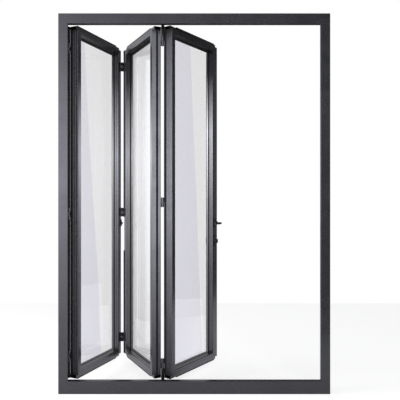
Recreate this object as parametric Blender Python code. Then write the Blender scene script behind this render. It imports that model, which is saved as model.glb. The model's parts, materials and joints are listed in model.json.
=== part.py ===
"""Three-leaf folding door in powder-coated aluminium, all sizes in metres.

X runs along the opening, +Y points outdoors and +Z is up. The origin is at the
middle of the sill's underside. Every piece is laid out with the door shut, and
the pivots then fold the leaves to the half-open rest position.
"""
from math import atan2, cos, pi, radians, sin

import bmesh
import bpy
from mathutils import Matrix, Vector

# Outer frame
FRAME_WIDTH = 1.500
FRAME_HEIGHT = 2.100
FRAME_DEPTH = 0.072
WALL = 0.002
JAMB_FACE = 0.052
HEAD_FACE = 0.056
SILL_FACE = 0.071
JAMB_REBATE = 0.036
HEAD_REBATE = 0.039
SILL_REBATE = 0.049
JAMB_LIP_DEPTH = 0.014
TRACK_LIP_DEPTH = 0.027
EDGE_CHAMFER = 0.0008

# Running groove in the sill and guide groove in the head
GROOVE_MIDDLE = 0.020
GROOVE_WIDTH = 0.018
SILL_GROOVE_DEPTH = 0.025
HEAD_GROOVE_DEPTH = 0.020
RAIL_HEIGHT = 0.006
RAIL_WIDTH = 0.006

# Leaves
LEAF_COUNT = 3
LEAF_THICKNESS = 0.055
LEAF_BOTTOM = 0.063
LEAF_TOP_GAP = 0.009
EDGE_CHANNEL_HEIGHT = 0.0195
EDGE_CHANNEL_DEPTH = 0.041
HINGE_SIDE_GAP = 0.008
LOCK_SIDE_GAP = 0.005
LEAF_GAP = 0.008
STILE_WIDTH = 0.030
LOCK_STILE_WIDTH = 0.046
LEAF_RAIL_WIDTH = 0.030
BEAD_WIDTH = 0.014
BEAD_DEPTH = 0.027
BEAD_CHAMFER = 0.003
BEAD_GROOVE_AT = 0.013
BEAD_GROOVE = 0.0015
GLAZING_LIP = 0.003
PANE_THICKNESS = 0.004
PANE_SPACING = 0.004
GLAZING_BITE = 0.010
WEDGE_GASKET_WIDTH = 0.007
WEDGE_SETBACK = 0.001
FRAME_GASKET_WIDTH = 0.010
EDGE_SEAL_WIDTH = 0.010
EDGE_SEAL_THICKNESS = 0.0025
EDGE_SEAL_FROM_FRONT = 0.026

# Running clearances
FIT_GAP = 0.0003
MITRE_GAP = 0.00015
WELD_DEPTH = 0.001
SEAL_GAP = 0.0004

# Hinges
HINGE_OFFSET = 0.0095
BARREL_RADIUS = 0.008
PIN_RADIUS = 0.003
HINGE_PLATE = 0.0025
HINGE_PLATE_REACH = 0.029
FOLD_PLATE_REACH = 0.0145
HINGE_PLATE_START = 0.005
HINGE_HEIGHT = 0.056
HINGE_INSET = 0.124
MIDDLE_HINGE_OVER_HANDLE = 0.067
CARRIER_HINGE_INSET = 0.080
COVER_ROD_RADIUS = 0.0098
COVER_ROD_SIDES = 28

# Roller carriage
WHEEL_RADIUS = 0.010
WHEEL_WIDTH = 0.007
WHEEL_SPACING = 0.044
AXLE_RADIUS = 0.0025
CHEEK_THICKNESS = 0.003
CHEEK_GAP = 0.0005
BOGIE_LENGTH = 0.072
BRIDGE_DROP = 0.0015
ARM_WIDTH = 0.016
ARM_THICKNESS = 0.005
ARM_GAP_BELOW_LEAF = 0.004
ARM_GAP_ABOVE_LEAF = 0.0015
CARRIER_PIN_RADIUS = 0.003
GUIDE_RADIUS = 0.008
GUIDE_HEIGHT = 0.013
GUIDE_STEM_RADIUS = 0.003

# Lock set on the third leaf
LOCK_AXIS_FROM_EDGE = 0.025
LEVER_HEIGHT = 0.925
LEVER_TO_TURN = 0.112
PLATE_WIDTH = 0.024
PLATE_THICKNESS = 0.0075
LEVER_PLATE_HEIGHT = 0.052
TURN_PLATE_HEIGHT = 0.065
LEVER_RADIUS = 0.0065
LEVER_PROJECTION = 0.041
LEVER_LENGTH = 0.072
LEVER_BEND = 0.012
SPINDLE_RADIUS = 0.0035
TURN_SPINDLE_RADIUS = 0.003
TURN_HUB_RADIUS = 0.0075
TURN_HUB_LENGTH = 0.005
TURN_WING_LENGTH = 0.024
TURN_WING_THICKNESS = 0.006
TURN_WING_DEPTH = 0.013
CYLINDER_RADIUS = 0.0085
CYLINDER_LENGTH = 0.006
KEYWAY_HEIGHT = 0.009
KEYWAY_WIDTH = 0.002
BOLT_PLANE_FROM_FRONT = 0.0275
LATCH_SIZE = (0.020, 0.011, 0.014)
LATCH_THROW = 0.009
LEVER_TO_DEAD_BOLT = 0.065
DEAD_BOLT_SIZE = (0.026, 0.012, 0.024)
DEAD_BOLT_SETBACK = 0.0005
LOCK_CASE_WIDTH = 0.0272
LOCK_CASE_DEPTH = 0.016
LOCK_CASE_BELOW_TURN = 0.028
LOCK_CASE_ABOVE_LEVER = 0.036
LOCK_CASE_WALL = 0.0015
FACEPLATE_WIDTH = 0.0194
KEEP_THICKNESS = 0.002
KEEP_WIDTH = 0.018
KEEP_BORDER = 0.025
KEEP_CLEARANCE = 0.0015

# Shoot bolts on the first leaf
SHOOT_HANDLE_HEIGHT = 0.924
SHOOT_AXIS_FROM_EDGE = 0.009
SHOOT_PLATE_THICKNESS = 0.0055
SHOOT_LEVER_RADIUS = 0.0055
SHOOT_LEVER_PROJECTION = 0.009
SHOOT_LEVER_LENGTH = 0.062
SHOOT_LEVER_DROOP = 38.0
SHOOT_SPINDLE_RADIUS = 0.003
SHOOT_ROD_RADIUS = 0.0035
SHOOT_ROD_FROM_EDGE = 0.008
SHOOT_ROD_FROM_FRONT = 0.021
SHOOT_ROD_START = 0.018
SHOOT_ROD_RETRACT = 0.002
SHOOT_GEAR_SIZE = (0.0114, 0.020, 0.096)
SHOOT_GEAR_WALL = 0.0012
SHOOT_HOLE_CLEARANCE = 0.0015

# Rest position
FOLD_ANGLE = 65.0
SWING_ANGLE = 52.7

# Places worked out from the sizes above
FRONT = -FRAME_DEPTH / 2
BACK = FRAME_DEPTH / 2
HALF_WIDTH = FRAME_WIDTH / 2
LEAF_FRONT = BACK - LEAF_THICKNESS
LEAF_TOP = FRAME_HEIGHT - HEAD_REBATE - LEAF_TOP_GAP
CORE_BOTTOM = LEAF_BOTTOM + EDGE_CHANNEL_HEIGHT + FIT_GAP
CORE_TOP = LEAF_TOP - EDGE_CHANNEL_HEIGHT - FIT_GAP
LEFT_EDGE = -HALF_WIDTH + JAMB_REBATE + HINGE_SIDE_GAP
RIGHT_EDGE = HALF_WIDTH - JAMB_REBATE - LOCK_SIDE_GAP
LEAF_WIDTH = (RIGHT_EDGE - LEFT_EDGE - (LEAF_COUNT - 1) * LEAF_GAP) / LEAF_COUNT
LEAF_PITCH = LEAF_WIDTH + LEAF_GAP
GLASS_FRONT = BACK - GLAZING_LIP - FIT_GAP - 2 * PANE_THICKNESS - PANE_SPACING
GROOVE_LOW = GROOVE_MIDDLE - GROOVE_WIDTH / 2
GROOVE_HIGH = GROOVE_MIDDLE + GROOVE_WIDTH / 2
BOLT_PLANE = LEAF_FRONT + BOLT_PLANE_FROM_FRONT
TURN_HEIGHT = LEVER_HEIGHT - LEVER_TO_TURN
DEAD_BOLT_HEIGHT = LEVER_HEIGHT - LEVER_TO_DEAD_BOLT
HINGE_HEIGHTS = (LEAF_BOTTOM + HINGE_INSET, SHOOT_HANDLE_HEIGHT + MIDDLE_HINGE_OVER_HANDLE,
                 LEAF_TOP - HINGE_INSET)
CARRIER_HINGE_HEIGHTS = (LEAF_BOTTOM + CARRIER_HINGE_INSET, (LEAF_BOTTOM + LEAF_TOP) / 2,
                         LEAF_TOP - CARRIER_HINGE_INSET)
LOCK_AXIS = RIGHT_EDGE - LOCK_AXIS_FROM_EDGE
LEAF_1_RIGHT_EDGE = LEFT_EDGE + LEAF_WIDTH
ROD_X = LEAF_1_RIGHT_EDGE - SHOOT_ROD_FROM_EDGE
ROD_Y = LEAF_FRONT + SHOOT_ROD_FROM_FRONT

JAMB_AXIS = Vector((LEFT_EDGE - LEAF_GAP / 2, BACK + HINGE_OFFSET, 0))
FOLD_AXIS = Vector((JAMB_AXIS.x + LEAF_PITCH, LEAF_FRONT - HINGE_OFFSET, 0))
CARRIER_AXIS = Vector((JAMB_AXIS.x + 2 * LEAF_PITCH, BACK + HINGE_OFFSET, 0))

for old in list(bpy.data.objects):
    bpy.data.objects.remove(old)

door_collection = bpy.data.collections.new("folding_door")
cutter_collection = bpy.data.collections.new("cutters")
bpy.context.scene.collection.children.link(door_collection)
bpy.context.scene.collection.children.link(cutter_collection)

closed_place = {}


def make_material(name, colour, roughness, metallic, transmission=0.0):
    """Give a plain Principled finish for one kind of stock."""
    material = bpy.data.materials.new(name)
    material.use_nodes = True
    shader = material.node_tree.nodes["Principled BSDF"]
    shader.inputs["Base Color"].default_value = (*colour, 1)
    shader.inputs["Roughness"].default_value = roughness
    shader.inputs["Metallic"].default_value = metallic
    shader.inputs["Transmission Weight"].default_value = transmission
    material.diffuse_color = (*colour, 1)
    return material


ANTHRACITE = make_material("anthracite_powder_coat", (0.075, 0.075, 0.085), 0.45, 0.2)
ANTHRACITE_BEAD = make_material("anthracite_bead", (0.09, 0.09, 0.10), 0.45, 0.2)
BLACK_RUBBER = make_material("black_rubber", (0.012, 0.012, 0.012), 0.8, 0.0)
CLEAR_GLASS = make_material("clear_glass", (0.80, 0.82, 0.84), 0.03, 0.0, 0.9)
STAINLESS = make_material("stainless_steel", (0.60, 0.60, 0.61), 0.30, 1.0)
DARK_HARDWARE = make_material("dark_hardware", (0.03, 0.028, 0.03), 0.35, 0.6)
WHITE_NYLON = make_material("white_nylon", (0.75, 0.74, 0.70), 0.5, 0.0)


def pivot(name, place, parent=None):
    """Put an empty on a joint axis, at its place with the door shut."""
    empty = bpy.data.objects.new(name, None)
    empty.empty_display_size = 0.05
    door_collection.objects.link(empty)
    closed_place[name] = Vector(place)
    empty.location = place
    if parent is not None:
        empty.parent = parent
        empty.location = Vector(place) - closed_place[parent.name]
    return empty


def make_object(name, mesh, place, parent, collection):
    """Place a mesh by the spot that it has with the door shut."""
    piece = bpy.data.objects.new(name, mesh)
    collection.objects.link(piece)
    piece.location = place
    if parent is not None:
        piece.parent = parent
        piece.location = Vector(place) - closed_place[parent.name]
    return piece


def finish_mesh(bm, name):
    bmesh.ops.recalc_face_normals(bm, faces=bm.faces)
    mesh = bpy.data.meshes.new(name)
    bm.to_mesh(mesh)
    bm.free()
    return mesh


def smooth_round_faces(mesh, flat_share=0.35):
    """Smooth the thin faces of turned shapes and keep broad flats and caps flat."""
    longest = max((edge_length(mesh, edge) for edge in mesh.edges), default=1)
    for polygon in mesh.polygons:
        lengths = [edge_length(mesh, mesh.edges[mesh.loops[i].edge_index])
                   for i in polygon.loop_indices]
        polygon.use_smooth = len(lengths) == 4 and min(lengths) < flat_share * longest


def edge_length(mesh, edge):
    start, end = (mesh.vertices[i].co for i in edge.vertices)
    return (end - start).length


def add_box(bm, low, high):
    """Add a box between two corners."""
    low, high = Vector(low), Vector(high)
    size = high - low
    matrix = Matrix.Translation((low + high) / 2) @ Matrix.Diagonal((*size, 1))
    bmesh.ops.create_cube(bm, size=1, matrix=matrix)


def add_rod(bm, start, end, radius, sides=24, end_radius=None):
    """Add a round bar between two points."""
    start, end = Vector(start), Vector(end)
    run = end - start
    turn = run.to_track_quat("Z", "Y").to_matrix().to_4x4()
    matrix = Matrix.Translation((start + end) / 2) @ turn
    bmesh.ops.create_cone(bm, cap_ends=True, segments=sides, radius1=radius,
                          radius2=radius if end_radius is None else end_radius,
                          depth=run.length, matrix=matrix)


def add_mesh(bm, mesh, matrix):
    """Copy a mesh into the one being built, and drop the source."""
    mesh.transform(matrix)
    bm.from_mesh(mesh)
    bpy.data.meshes.remove(mesh)


def arc(centre, radius, start, end, steps):
    """Points on a round stretch of an outline, angles in degrees."""
    points = []
    for step in range(steps + 1):
        angle = radians(start + (end - start) * step / steps)
        points.append((centre[0] + radius * cos(angle), centre[1] + radius * sin(angle)))
    return points


def chamfered(corners, size=EDGE_CHAMFER):
    """Break each outer corner of a counterclockwise outline by a small flat."""
    points = []
    count = len(corners)
    for index, corner in enumerate(corners):
        here = Vector(corner)
        before = here - Vector(corners[index - 1])
        after = Vector(corners[(index + 1) % count]) - here
        if before.cross(after) > 0:
            points.append(tuple(here - before.normalized() * size))
            points.append(tuple(here + after.normalized() * size))
        else:
            points.append(corner)
    return points


def curve_to_mesh(curve):
    """Turn a curve into a welded mesh and drop the curve."""
    holder = bpy.data.objects.new(curve.name, curve)
    bpy.context.scene.collection.objects.link(holder)
    bpy.context.view_layer.update()
    depsgraph = bpy.context.evaluated_depsgraph_get()
    mesh = bpy.data.meshes.new_from_object(holder.evaluated_get(depsgraph))
    mesh.transform(holder.matrix_world)
    bpy.data.objects.remove(holder)
    bpy.data.curves.remove(curve)
    bm = bmesh.new()
    bm.from_mesh(mesh)
    bmesh.ops.remove_doubles(bm, verts=bm.verts, dist=0.000001)
    bmesh.ops.recalc_face_normals(bm, faces=bm.faces)
    bm.to_mesh(mesh)
    bm.free()
    return mesh


def outline_prism(loops, length, capped=True):
    """Fill an outline with its holes and extrude it along Z, centred on zero."""
    curve = bpy.data.curves.new("outline", "CURVE")
    curve.dimensions = "2D"
    curve.fill_mode = "BOTH"
    curve.extrude = length / 2
    curve.render_resolution_u = 0
    for loop in loops:
        spline = curve.splines.new("POLY")
        spline.points.add(len(loop) - 1)
        for point, (u, v) in zip(spline.points, loop):
            point.co = (u, v, 0, 1)
        spline.use_cyclic_u = True
    mesh = curve_to_mesh(curve)
    if not capped:
        bm = bmesh.new()
        bm.from_mesh(mesh)
        caps = [face for face in bm.faces
                if abs(sum(vertex.co.z for vertex in face.verts)) > length]
        bmesh.ops.delete(bm, geom=caps, context="FACES_ONLY")
        bm.to_mesh(mesh)
        bm.free()
    return mesh


TURNS = {
    "left": Matrix.Identity(4),
    "right": Matrix.Rotation(pi, 4, "Y"),
    "top": Matrix.Rotation(pi / 2, 4, "Y"),
    "bottom": Matrix.Rotation(-pi / 2, 4, "Y"),
}


class Opening:
    """A rectangle whose four sides are made of mitred lengths of profile."""

    def __init__(self, left, right, bottom, top, widths):
        self.left, self.right = left, right
        self.bottom, self.top = bottom, top
        self.widths = widths

    def centre(self):
        return Vector(((self.left + self.right) / 2, 0, (self.bottom + self.top) / 2))

    def length(self, side):
        if side in ("left", "right"):
            return self.top - self.bottom
        return self.right - self.left

    def outer_place(self, side):
        middle = self.centre()
        return {
            "left": Vector((self.left, 0, middle.z)),
            "right": Vector((self.right, 0, middle.z)),
            "top": Vector((middle.x, 0, self.top)),
            "bottom": Vector((middle.x, 0, self.bottom)),
        }[side]

    def neighbours(self, side):
        """Name the sides met at the profile's far and near end."""
        return {
            "left": ("top", "bottom"),
            "right": ("bottom", "top"),
            "top": ("right", "left"),
            "bottom": ("left", "right"),
        }[side]

    def profile(self, side, loops):
        """Cut a length of profile for one side, mitred from corner to corner."""
        length = self.length(side)
        mesh = outline_prism(loops, length)
        far, near = self.neighbours(side)
        own = self.widths[side]
        for vertex in mesh.vertices:
            inward = vertex.co.x
            if vertex.co.z > 0:
                vertex.co.z = length / 2 - MITRE_GAP - inward * self.widths[far] / own
            else:
                vertex.co.z = -length / 2 + MITRE_GAP + inward * self.widths[near] / own
        mesh.transform(TURNS[side])
        return mesh

    def ring_side(self, side, loop):
        """One open-ended side of a ring, mitred at 45 degrees from the inner corner."""
        length = self.length(side)
        mesh = outline_prism([loop], length, capped=False)
        far, near = self.neighbours(side)
        for vertex in mesh.vertices:
            from_inside = self.widths[side] - vertex.co.x
            if vertex.co.z > 0:
                vertex.co.z = length / 2 - self.widths[far] + from_inside
            else:
                vertex.co.z = -length / 2 + self.widths[near] - from_inside
        mesh.transform(TURNS[side])
        return mesh

    def ring(self, section_for):
        """Weld the four sides of a solid section into one ring, about the centre."""
        bm = bmesh.new()
        for side in self.widths:
            mesh = self.ring_side(side, section_for(self.widths[side]))
            add_mesh(bm, mesh, Matrix.Translation(self.outer_place(side) - self.centre()))
        bmesh.ops.remove_doubles(bm, verts=bm.verts, dist=0.00001)
        return finish_mesh(bm, "ring")


def piece_from_mesh(name, mesh, place, parent, material):
    mesh.name = name
    mesh.materials.append(material)
    return make_object(name, mesh, place, parent, door_collection)


def piece_from_bmesh(name, bm, origin, parent, material, smooth=False):
    """Make a piece whose shape was laid out in closed-door coordinates."""
    bmesh.ops.translate(bm, verts=bm.verts, vec=-Vector(origin))
    mesh = finish_mesh(bm, name)
    if smooth:
        smooth_round_faces(mesh)
    return piece_from_mesh(name, mesh, origin, parent, material)


def shape_with(piece, bm, operation, parent):
    """Join or cut a piece with a shape laid out in closed-door coordinates."""
    centre = Vector((0, 0, 0))
    for vertex in bm.verts:
        centre += vertex.co / len(bm.verts)
    bmesh.ops.translate(bm, verts=bm.verts, vec=-centre)
    label = piece.name + "_tool_" + str(len(piece.modifiers) + 1)
    tool = make_object(label, finish_mesh(bm, label), centre, parent, cutter_collection)
    tool.hide_render = True
    tool.display_type = "WIRE"
    boolean = piece.modifiers.new(operation.lower(), "BOOLEAN")
    boolean.operation = operation
    boolean.object = tool
    boolean.solver = "EXACT"


def cut_box(piece, low, high, parent):
    bm = bmesh.new()
    add_box(bm, low, high)
    shape_with(piece, bm, "DIFFERENCE", parent)


def cut_rod(piece, start, end, radius, parent, sides=24):
    bm = bmesh.new()
    add_rod(bm, start, end, radius, sides)
    shape_with(piece, bm, "DIFFERENCE", parent)


# Sections, as distance inward from the outer edge and depth through the wall

def jamb_section():
    lip_back = FRONT + JAMB_LIP_DEPTH
    outline = [(0, FRONT), (JAMB_FACE, FRONT), (JAMB_FACE, lip_back),
               (JAMB_REBATE, lip_back), (JAMB_REBATE, BACK), (0, BACK)]
    chamber = [(WALL, FRONT + WALL), (JAMB_FACE - WALL, FRONT + WALL),
               (JAMB_FACE - WALL, lip_back - WALL), (JAMB_REBATE - WALL, lip_back - WALL),
               (JAMB_REBATE - WALL, BACK - WALL), (WALL, BACK - WALL)]
    return [chamfered(outline), chamber]


def track_section(face, rebate, groove_depth):
    lip_back = FRONT + TRACK_LIP_DEPTH
    groove_floor = rebate - groove_depth
    outline = [(0, FRONT), (face, FRONT), (face, lip_back), (rebate, lip_back),
               (rebate, GROOVE_LOW), (groove_floor, GROOVE_LOW),
               (groove_floor, GROOVE_HIGH), (rebate, GROOVE_HIGH),
               (rebate, BACK), (0, BACK)]
    front_chamber = [(WALL, FRONT + WALL), (face - WALL, FRONT + WALL),
                     (face - WALL, lip_back - WALL), (rebate - WALL, lip_back - WALL),
                     (rebate - WALL, GROOVE_LOW - WALL), (WALL, GROOVE_LOW - WALL)]
    back_chamber = [(WALL, GROOVE_LOW), (groove_floor - WALL, GROOVE_LOW),
                    (groove_floor - WALL, BACK - WALL), (WALL, BACK - WALL)]
    return [chamfered(outline), front_chamber, back_chamber]


def sash_section(width):
    body = width - BEAD_WIDTH
    lip_front = BACK - GLAZING_LIP
    outline = [(0, LEAF_FRONT), (body, LEAF_FRONT), (body, lip_front),
               (width, lip_front), (width, BACK), (0, BACK)]
    chamber = [(WALL, LEAF_FRONT + WALL), (body - WALL, LEAF_FRONT + WALL),
               (body - WALL, BACK - WALL), (WALL, BACK - WALL)]
    return [chamfered(outline), chamber]


def bead_section(width):
    inner = width - BEAD_WIDTH + FIT_GAP
    groove_start = LEAF_FRONT + BEAD_GROOVE_AT
    bead_back = LEAF_FRONT + BEAD_DEPTH
    return [(inner, LEAF_FRONT), (width - BEAD_CHAMFER, LEAF_FRONT),
            (width, LEAF_FRONT + BEAD_CHAMFER), (width, groove_start),
            (width - BEAD_GROOVE, groove_start + BEAD_GROOVE),
            (width - BEAD_GROOVE, groove_start + 2 * BEAD_GROOVE),
            (width, groove_start + 3 * BEAD_GROOVE), (width, bead_back),
            (inner, bead_back)]


def wedge_section(width):
    outer = width - WEDGE_SETBACK
    wedge_front = LEAF_FRONT + BEAD_DEPTH + FIT_GAP
    wedge_back = GLASS_FRONT - FIT_GAP
    return [(outer - WEDGE_GASKET_WIDTH, wedge_front), (outer, wedge_front),
            (outer, wedge_back), (outer - WEDGE_GASKET_WIDTH, wedge_back)]


def build_frame():
    """Four mitred lengths of hollow profile, the seals and the running rail."""
    opening = Opening(-HALF_WIDTH, HALF_WIDTH, 0, FRAME_HEIGHT,
                      {"left": JAMB_FACE, "right": JAMB_FACE,
                       "top": HEAD_FACE, "bottom": SILL_FACE})
    sections = {
        "left": jamb_section(),
        "right": jamb_section(),
        "top": track_section(HEAD_FACE, HEAD_REBATE, HEAD_GROOVE_DEPTH),
        "bottom": track_section(SILL_FACE, SILL_REBATE, SILL_GROOVE_DEPTH),
    }
    names = {"left": "hinge_jamb", "right": "lock_jamb", "top": "head", "bottom": "sill"}
    pieces = {}
    for side, name in names.items():
        mesh = opening.profile(side, sections[side])
        pieces[name] = piece_from_mesh(name, mesh, opening.outer_place(side), None, ANTHRACITE)
    build_frame_gaskets()
    build_running_rail()
    return pieces


def build_frame_gaskets():
    """Seals on the back of the lips, which the shut leaves press on."""
    jamb_back = FRONT + JAMB_LIP_DEPTH + FIT_GAP
    jamb_rebate = HALF_WIDTH - JAMB_REBATE
    spans = []
    for name, side in (("hinge_jamb_gasket", -1), ("lock_jamb_gasket", 1)):
        outer = side * (jamb_rebate - FIT_GAP)
        inner = side * (jamb_rebate - FRAME_GASKET_WIDTH)
        spans.append((name, (min(outer, inner), jamb_back, CORE_BOTTOM),
                      (max(outer, inner), LEAF_FRONT - SEAL_GAP, CORE_TOP)))
    track_back = FRONT + TRACK_LIP_DEPTH + FIT_GAP
    channel_front = BACK - EDGE_CHANNEL_DEPTH - SEAL_GAP
    half_run = jamb_rebate - LEAF_GAP
    head_low = FRAME_HEIGHT - HEAD_FACE + FIT_GAP
    sill_high = SILL_FACE - FIT_GAP
    spans.append(("head_gasket", (-half_run, track_back, head_low),
                  (half_run, channel_front, head_low + FRAME_GASKET_WIDTH)))
    spans.append(("sill_gasket", (-half_run, track_back, sill_high - FRAME_GASKET_WIDTH),
                  (half_run, channel_front, sill_high)))
    for name, low, high in spans:
        bm = bmesh.new()
        add_box(bm, low, high)
        place = (Vector(low) + Vector(high)) / 2
        piece_from_bmesh(name, bm, place, None, BLACK_RUBBER)


def build_running_rail():
    """Stainless rail with a rounded top, on the floor of the sill groove."""
    floor = SILL_REBATE - SILL_GROOVE_DEPTH + FIT_GAP
    radius = RAIL_WIDTH / 2
    outline = [(-radius, 0), (radius, 0)]
    outline += arc((0, RAIL_HEIGHT - radius), radius, 0, 180, 8)
    length = FRAME_WIDTH - 2 * (JAMB_REBATE + LOCK_SIDE_GAP)
    mesh = outline_prism([outline], length)
    mesh.transform(Matrix.Rotation(pi / 2, 4, "Z") @ Matrix.Rotation(pi / 2, 4, "X"))
    piece_from_mesh("bottom_running_rail", mesh, (0, GROOVE_MIDDLE, floor), None, STAINLESS)


def build_leaf(number, left, parent, lock_stile=False):
    """Sash profiles, beads, glass unit, seals and edge channels of one leaf."""
    prefix = "leaf_" + str(number)
    widths = {"left": STILE_WIDTH, "right": LOCK_STILE_WIDTH if lock_stile else STILE_WIDTH,
              "top": LEAF_RAIL_WIDTH, "bottom": LEAF_RAIL_WIDTH}
    opening = Opening(left, left + LEAF_WIDTH, CORE_BOTTOM, CORE_TOP, widths)
    centre = opening.centre()
    pieces = {}
    labels = {"left": "left_stile", "right": "right_stile",
              "top": "top_rail", "bottom": "bottom_rail"}
    for side, label in labels.items():
        mesh = opening.profile(side, sash_section(widths[side]))
        pieces[label] = piece_from_mesh(prefix + "_" + label, mesh,
                                        opening.outer_place(side), parent, ANTHRACITE)

    for side in ("top", "bottom"):
        add_edge_channel(pieces[labels[side]], opening, side, parent)
    beads = opening.ring(bead_section)
    piece_from_mesh(prefix + "_glazing_bead", beads, centre, parent, ANTHRACITE_BEAD)
    wedge = opening.ring(wedge_section)
    piece_from_mesh(prefix + "_glazing_gasket", wedge, centre, parent, BLACK_RUBBER)
    build_glass(prefix, opening, parent)
    if number < LEAF_COUNT:
        build_edge_seal(prefix, opening, parent)
    return pieces


def add_edge_channel(rail, opening, side, parent):
    """Weld a hollow channel on the leaf's top or bottom edge, behind the frame's lip."""
    front = BACK - EDGE_CHANNEL_DEPTH
    outline = [(0, front), (EDGE_CHANNEL_HEIGHT, front), (EDGE_CHANNEL_HEIGHT, BACK), (0, BACK)]
    chamber = [(WALL, front + WALL), (EDGE_CHANNEL_HEIGHT - WALL, front + WALL),
               (EDGE_CHANNEL_HEIGHT - WALL, BACK - WALL), (WALL, BACK - WALL)]
    middle = opening.centre()
    edge = LEAF_TOP if side == "top" else LEAF_BOTTOM
    inward = -1 if side == "top" else 1
    web = bmesh.new()
    start = edge + inward * (EDGE_CHANNEL_HEIGHT - WELD_DEPTH)
    end = edge + inward * (EDGE_CHANNEL_HEIGHT + FIT_GAP + WELD_DEPTH)
    half_run = opening.length("top") / 2 - 2 * STILE_WIDTH
    add_box(web, (middle.x - half_run, front + 2 * WALL, min(start, end)),
            (middle.x + half_run, BACK - 3 * WALL, max(start, end)))
    shape_with(rail, web, "UNION", parent)
    bm = bmesh.new()
    mesh = outline_prism([chamfered(outline), chamber], opening.length("top"))
    add_mesh(bm, mesh, Matrix.Translation((middle.x, 0, edge)) @ TURNS[side])
    shape_with(rail, bm, "UNION", parent)


def build_glass(prefix, opening, parent):
    """The two panes of a slim double-glazed unit."""
    widths = opening.widths
    low_x = opening.left + widths["left"] - GLAZING_BITE
    high_x = opening.right - widths["right"] + GLAZING_BITE
    low_z = opening.bottom + widths["bottom"] - GLAZING_BITE
    high_z = opening.top - widths["top"] + GLAZING_BITE
    for label, front in (("_inner_pane", GLASS_FRONT),
                         ("_outer_pane", GLASS_FRONT + PANE_THICKNESS + PANE_SPACING)):
        bm = bmesh.new()
        add_box(bm, (low_x, front, low_z), (high_x, front + PANE_THICKNESS, high_z))
        place = opening.centre() + Vector((0, front, 0))
        piece_from_bmesh(prefix + label, bm, place, parent, CLEAR_GLASS)


def build_edge_seal(prefix, opening, parent):
    """Rubber strip that closes the gap to the next leaf."""
    seal_front = LEAF_FRONT + EDGE_SEAL_FROM_FRONT
    start = opening.right + FIT_GAP
    bm = bmesh.new()
    add_box(bm, (start, seal_front, CORE_BOTTOM),
            (start + EDGE_SEAL_THICKNESS, seal_front + EDGE_SEAL_WIDTH, CORE_TOP))
    piece_from_bmesh(prefix + "_edge_seal", bm, (start, seal_front, opening.centre().z),
                     parent, BLACK_RUBBER)


def knuckle_mesh(side, face, length, bored):
    """One knuckle: a barrel, bored where it turns, and the web down to the plate."""
    web = HINGE_OFFSET - FIT_GAP - HINGE_PLATE / 2
    reach = HINGE_PLATE_START + HINGE_PLATE
    outline = [(reach, -web), (reach, 0)] if reach > BARREL_RADIUS else []
    outline += arc((0, 0), BARREL_RADIUS, 0, 180, 12)
    outline += arc((0, 0), BARREL_RADIUS, 200, 240, 3)
    outline += [(BARREL_RADIUS * cos(radians(240)), -web)]
    if not reach > BARREL_RADIUS:
        outline += [(reach, -web), (reach, -BARREL_RADIUS * 0.3)]
    loops = [outline]
    if bored:
        loops.append(arc((0, 0), PIN_RADIUS + FIT_GAP, 0, 342, 19))
    mesh = outline_prism(loops, length)
    mesh.transform(Matrix.Diagonal((side, face, 1, 1)))
    return mesh


class HingeHalf:
    """One half of a butt hinge: plate, web and knuckles on one side of the axis.

    side is the direction of the plate from the axis, face that of the axis from
    the plate, and knuckles holds spans as shares of the hinge's height.
    """

    def __init__(self, axis, side, face, knuckles, tall, pin_fixed=False,
                 reach=HINGE_PLATE_REACH):
        self.axis = axis
        self.side = side
        self.face = face
        self.knuckles = knuckles
        self.tall = tall
        self.pin_fixed = pin_fixed
        self.reach = reach

    def plates(self, heights, seat):
        """Boxes for the plates; seat is their lift off the leaf's face."""
        bm = bmesh.new()
        near = self.axis.x + self.side * HINGE_PLATE_START
        far = near + self.side * self.reach
        surface = self.axis.y - self.face * HINGE_OFFSET
        start = surface + self.face * seat
        outer = surface + self.face * (FIT_GAP + HINGE_PLATE)
        for height in heights:
            add_box(bm, (min(near, far), min(start, outer), height - self.tall / 2),
                    (max(near, far), max(start, outer), height + self.tall / 2))
        return bm

    def barrels(self, heights):
        bm = bmesh.new()
        for height in heights:
            for low, high in self.knuckles:
                length = (high - low) * self.tall - 2 * FIT_GAP
                middle = height + ((low + high) / 2 - 0.5) * self.tall
                mesh = knuckle_mesh(self.side, self.face, length, not self.pin_fixed)
                add_mesh(bm, mesh, Matrix.Translation((self.axis.x, self.axis.y, middle)))
        return bm

    def pins(self, heights):
        bm = bmesh.new()
        half = self.tall / 2 - PIN_RADIUS
        for height in heights:
            add_rod(bm, (self.axis.x, self.axis.y, height - half),
                    (self.axis.x, self.axis.y, height + half), PIN_RADIUS, 18)
        return bm

    def build(self, name, height, parent):
        """Make this half a piece of its own."""
        place = (self.axis.x, self.axis.y, height)
        piece = piece_from_bmesh(name, self.plates((height,), FIT_GAP), place, parent,
                                 DARK_HARDWARE)
        shape_with(piece, self.barrels((height,)), "UNION", parent)
        if self.pin_fixed:
            shape_with(piece, self.pins((height,)), "UNION", parent)

    def weld_to(self, piece, heights, parent):
        """Make this half one with the profile that carries it."""
        shape_with(piece, self.plates(heights, -WELD_DEPTH), "UNION", parent)
        shape_with(piece, self.barrels(heights), "UNION", parent)
        if self.pin_fixed:
            shape_with(piece, self.pins(heights), "UNION", parent)


OUTER_KNUCKLES = ((0.0, 0.34), (0.66, 1.0))
MIDDLE_KNUCKLE = ((0.34, 0.66),)
LOWER_KNUCKLE = ((0.0, 0.5),)
UPPER_KNUCKLE = ((0.5, 1.0),)


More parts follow.
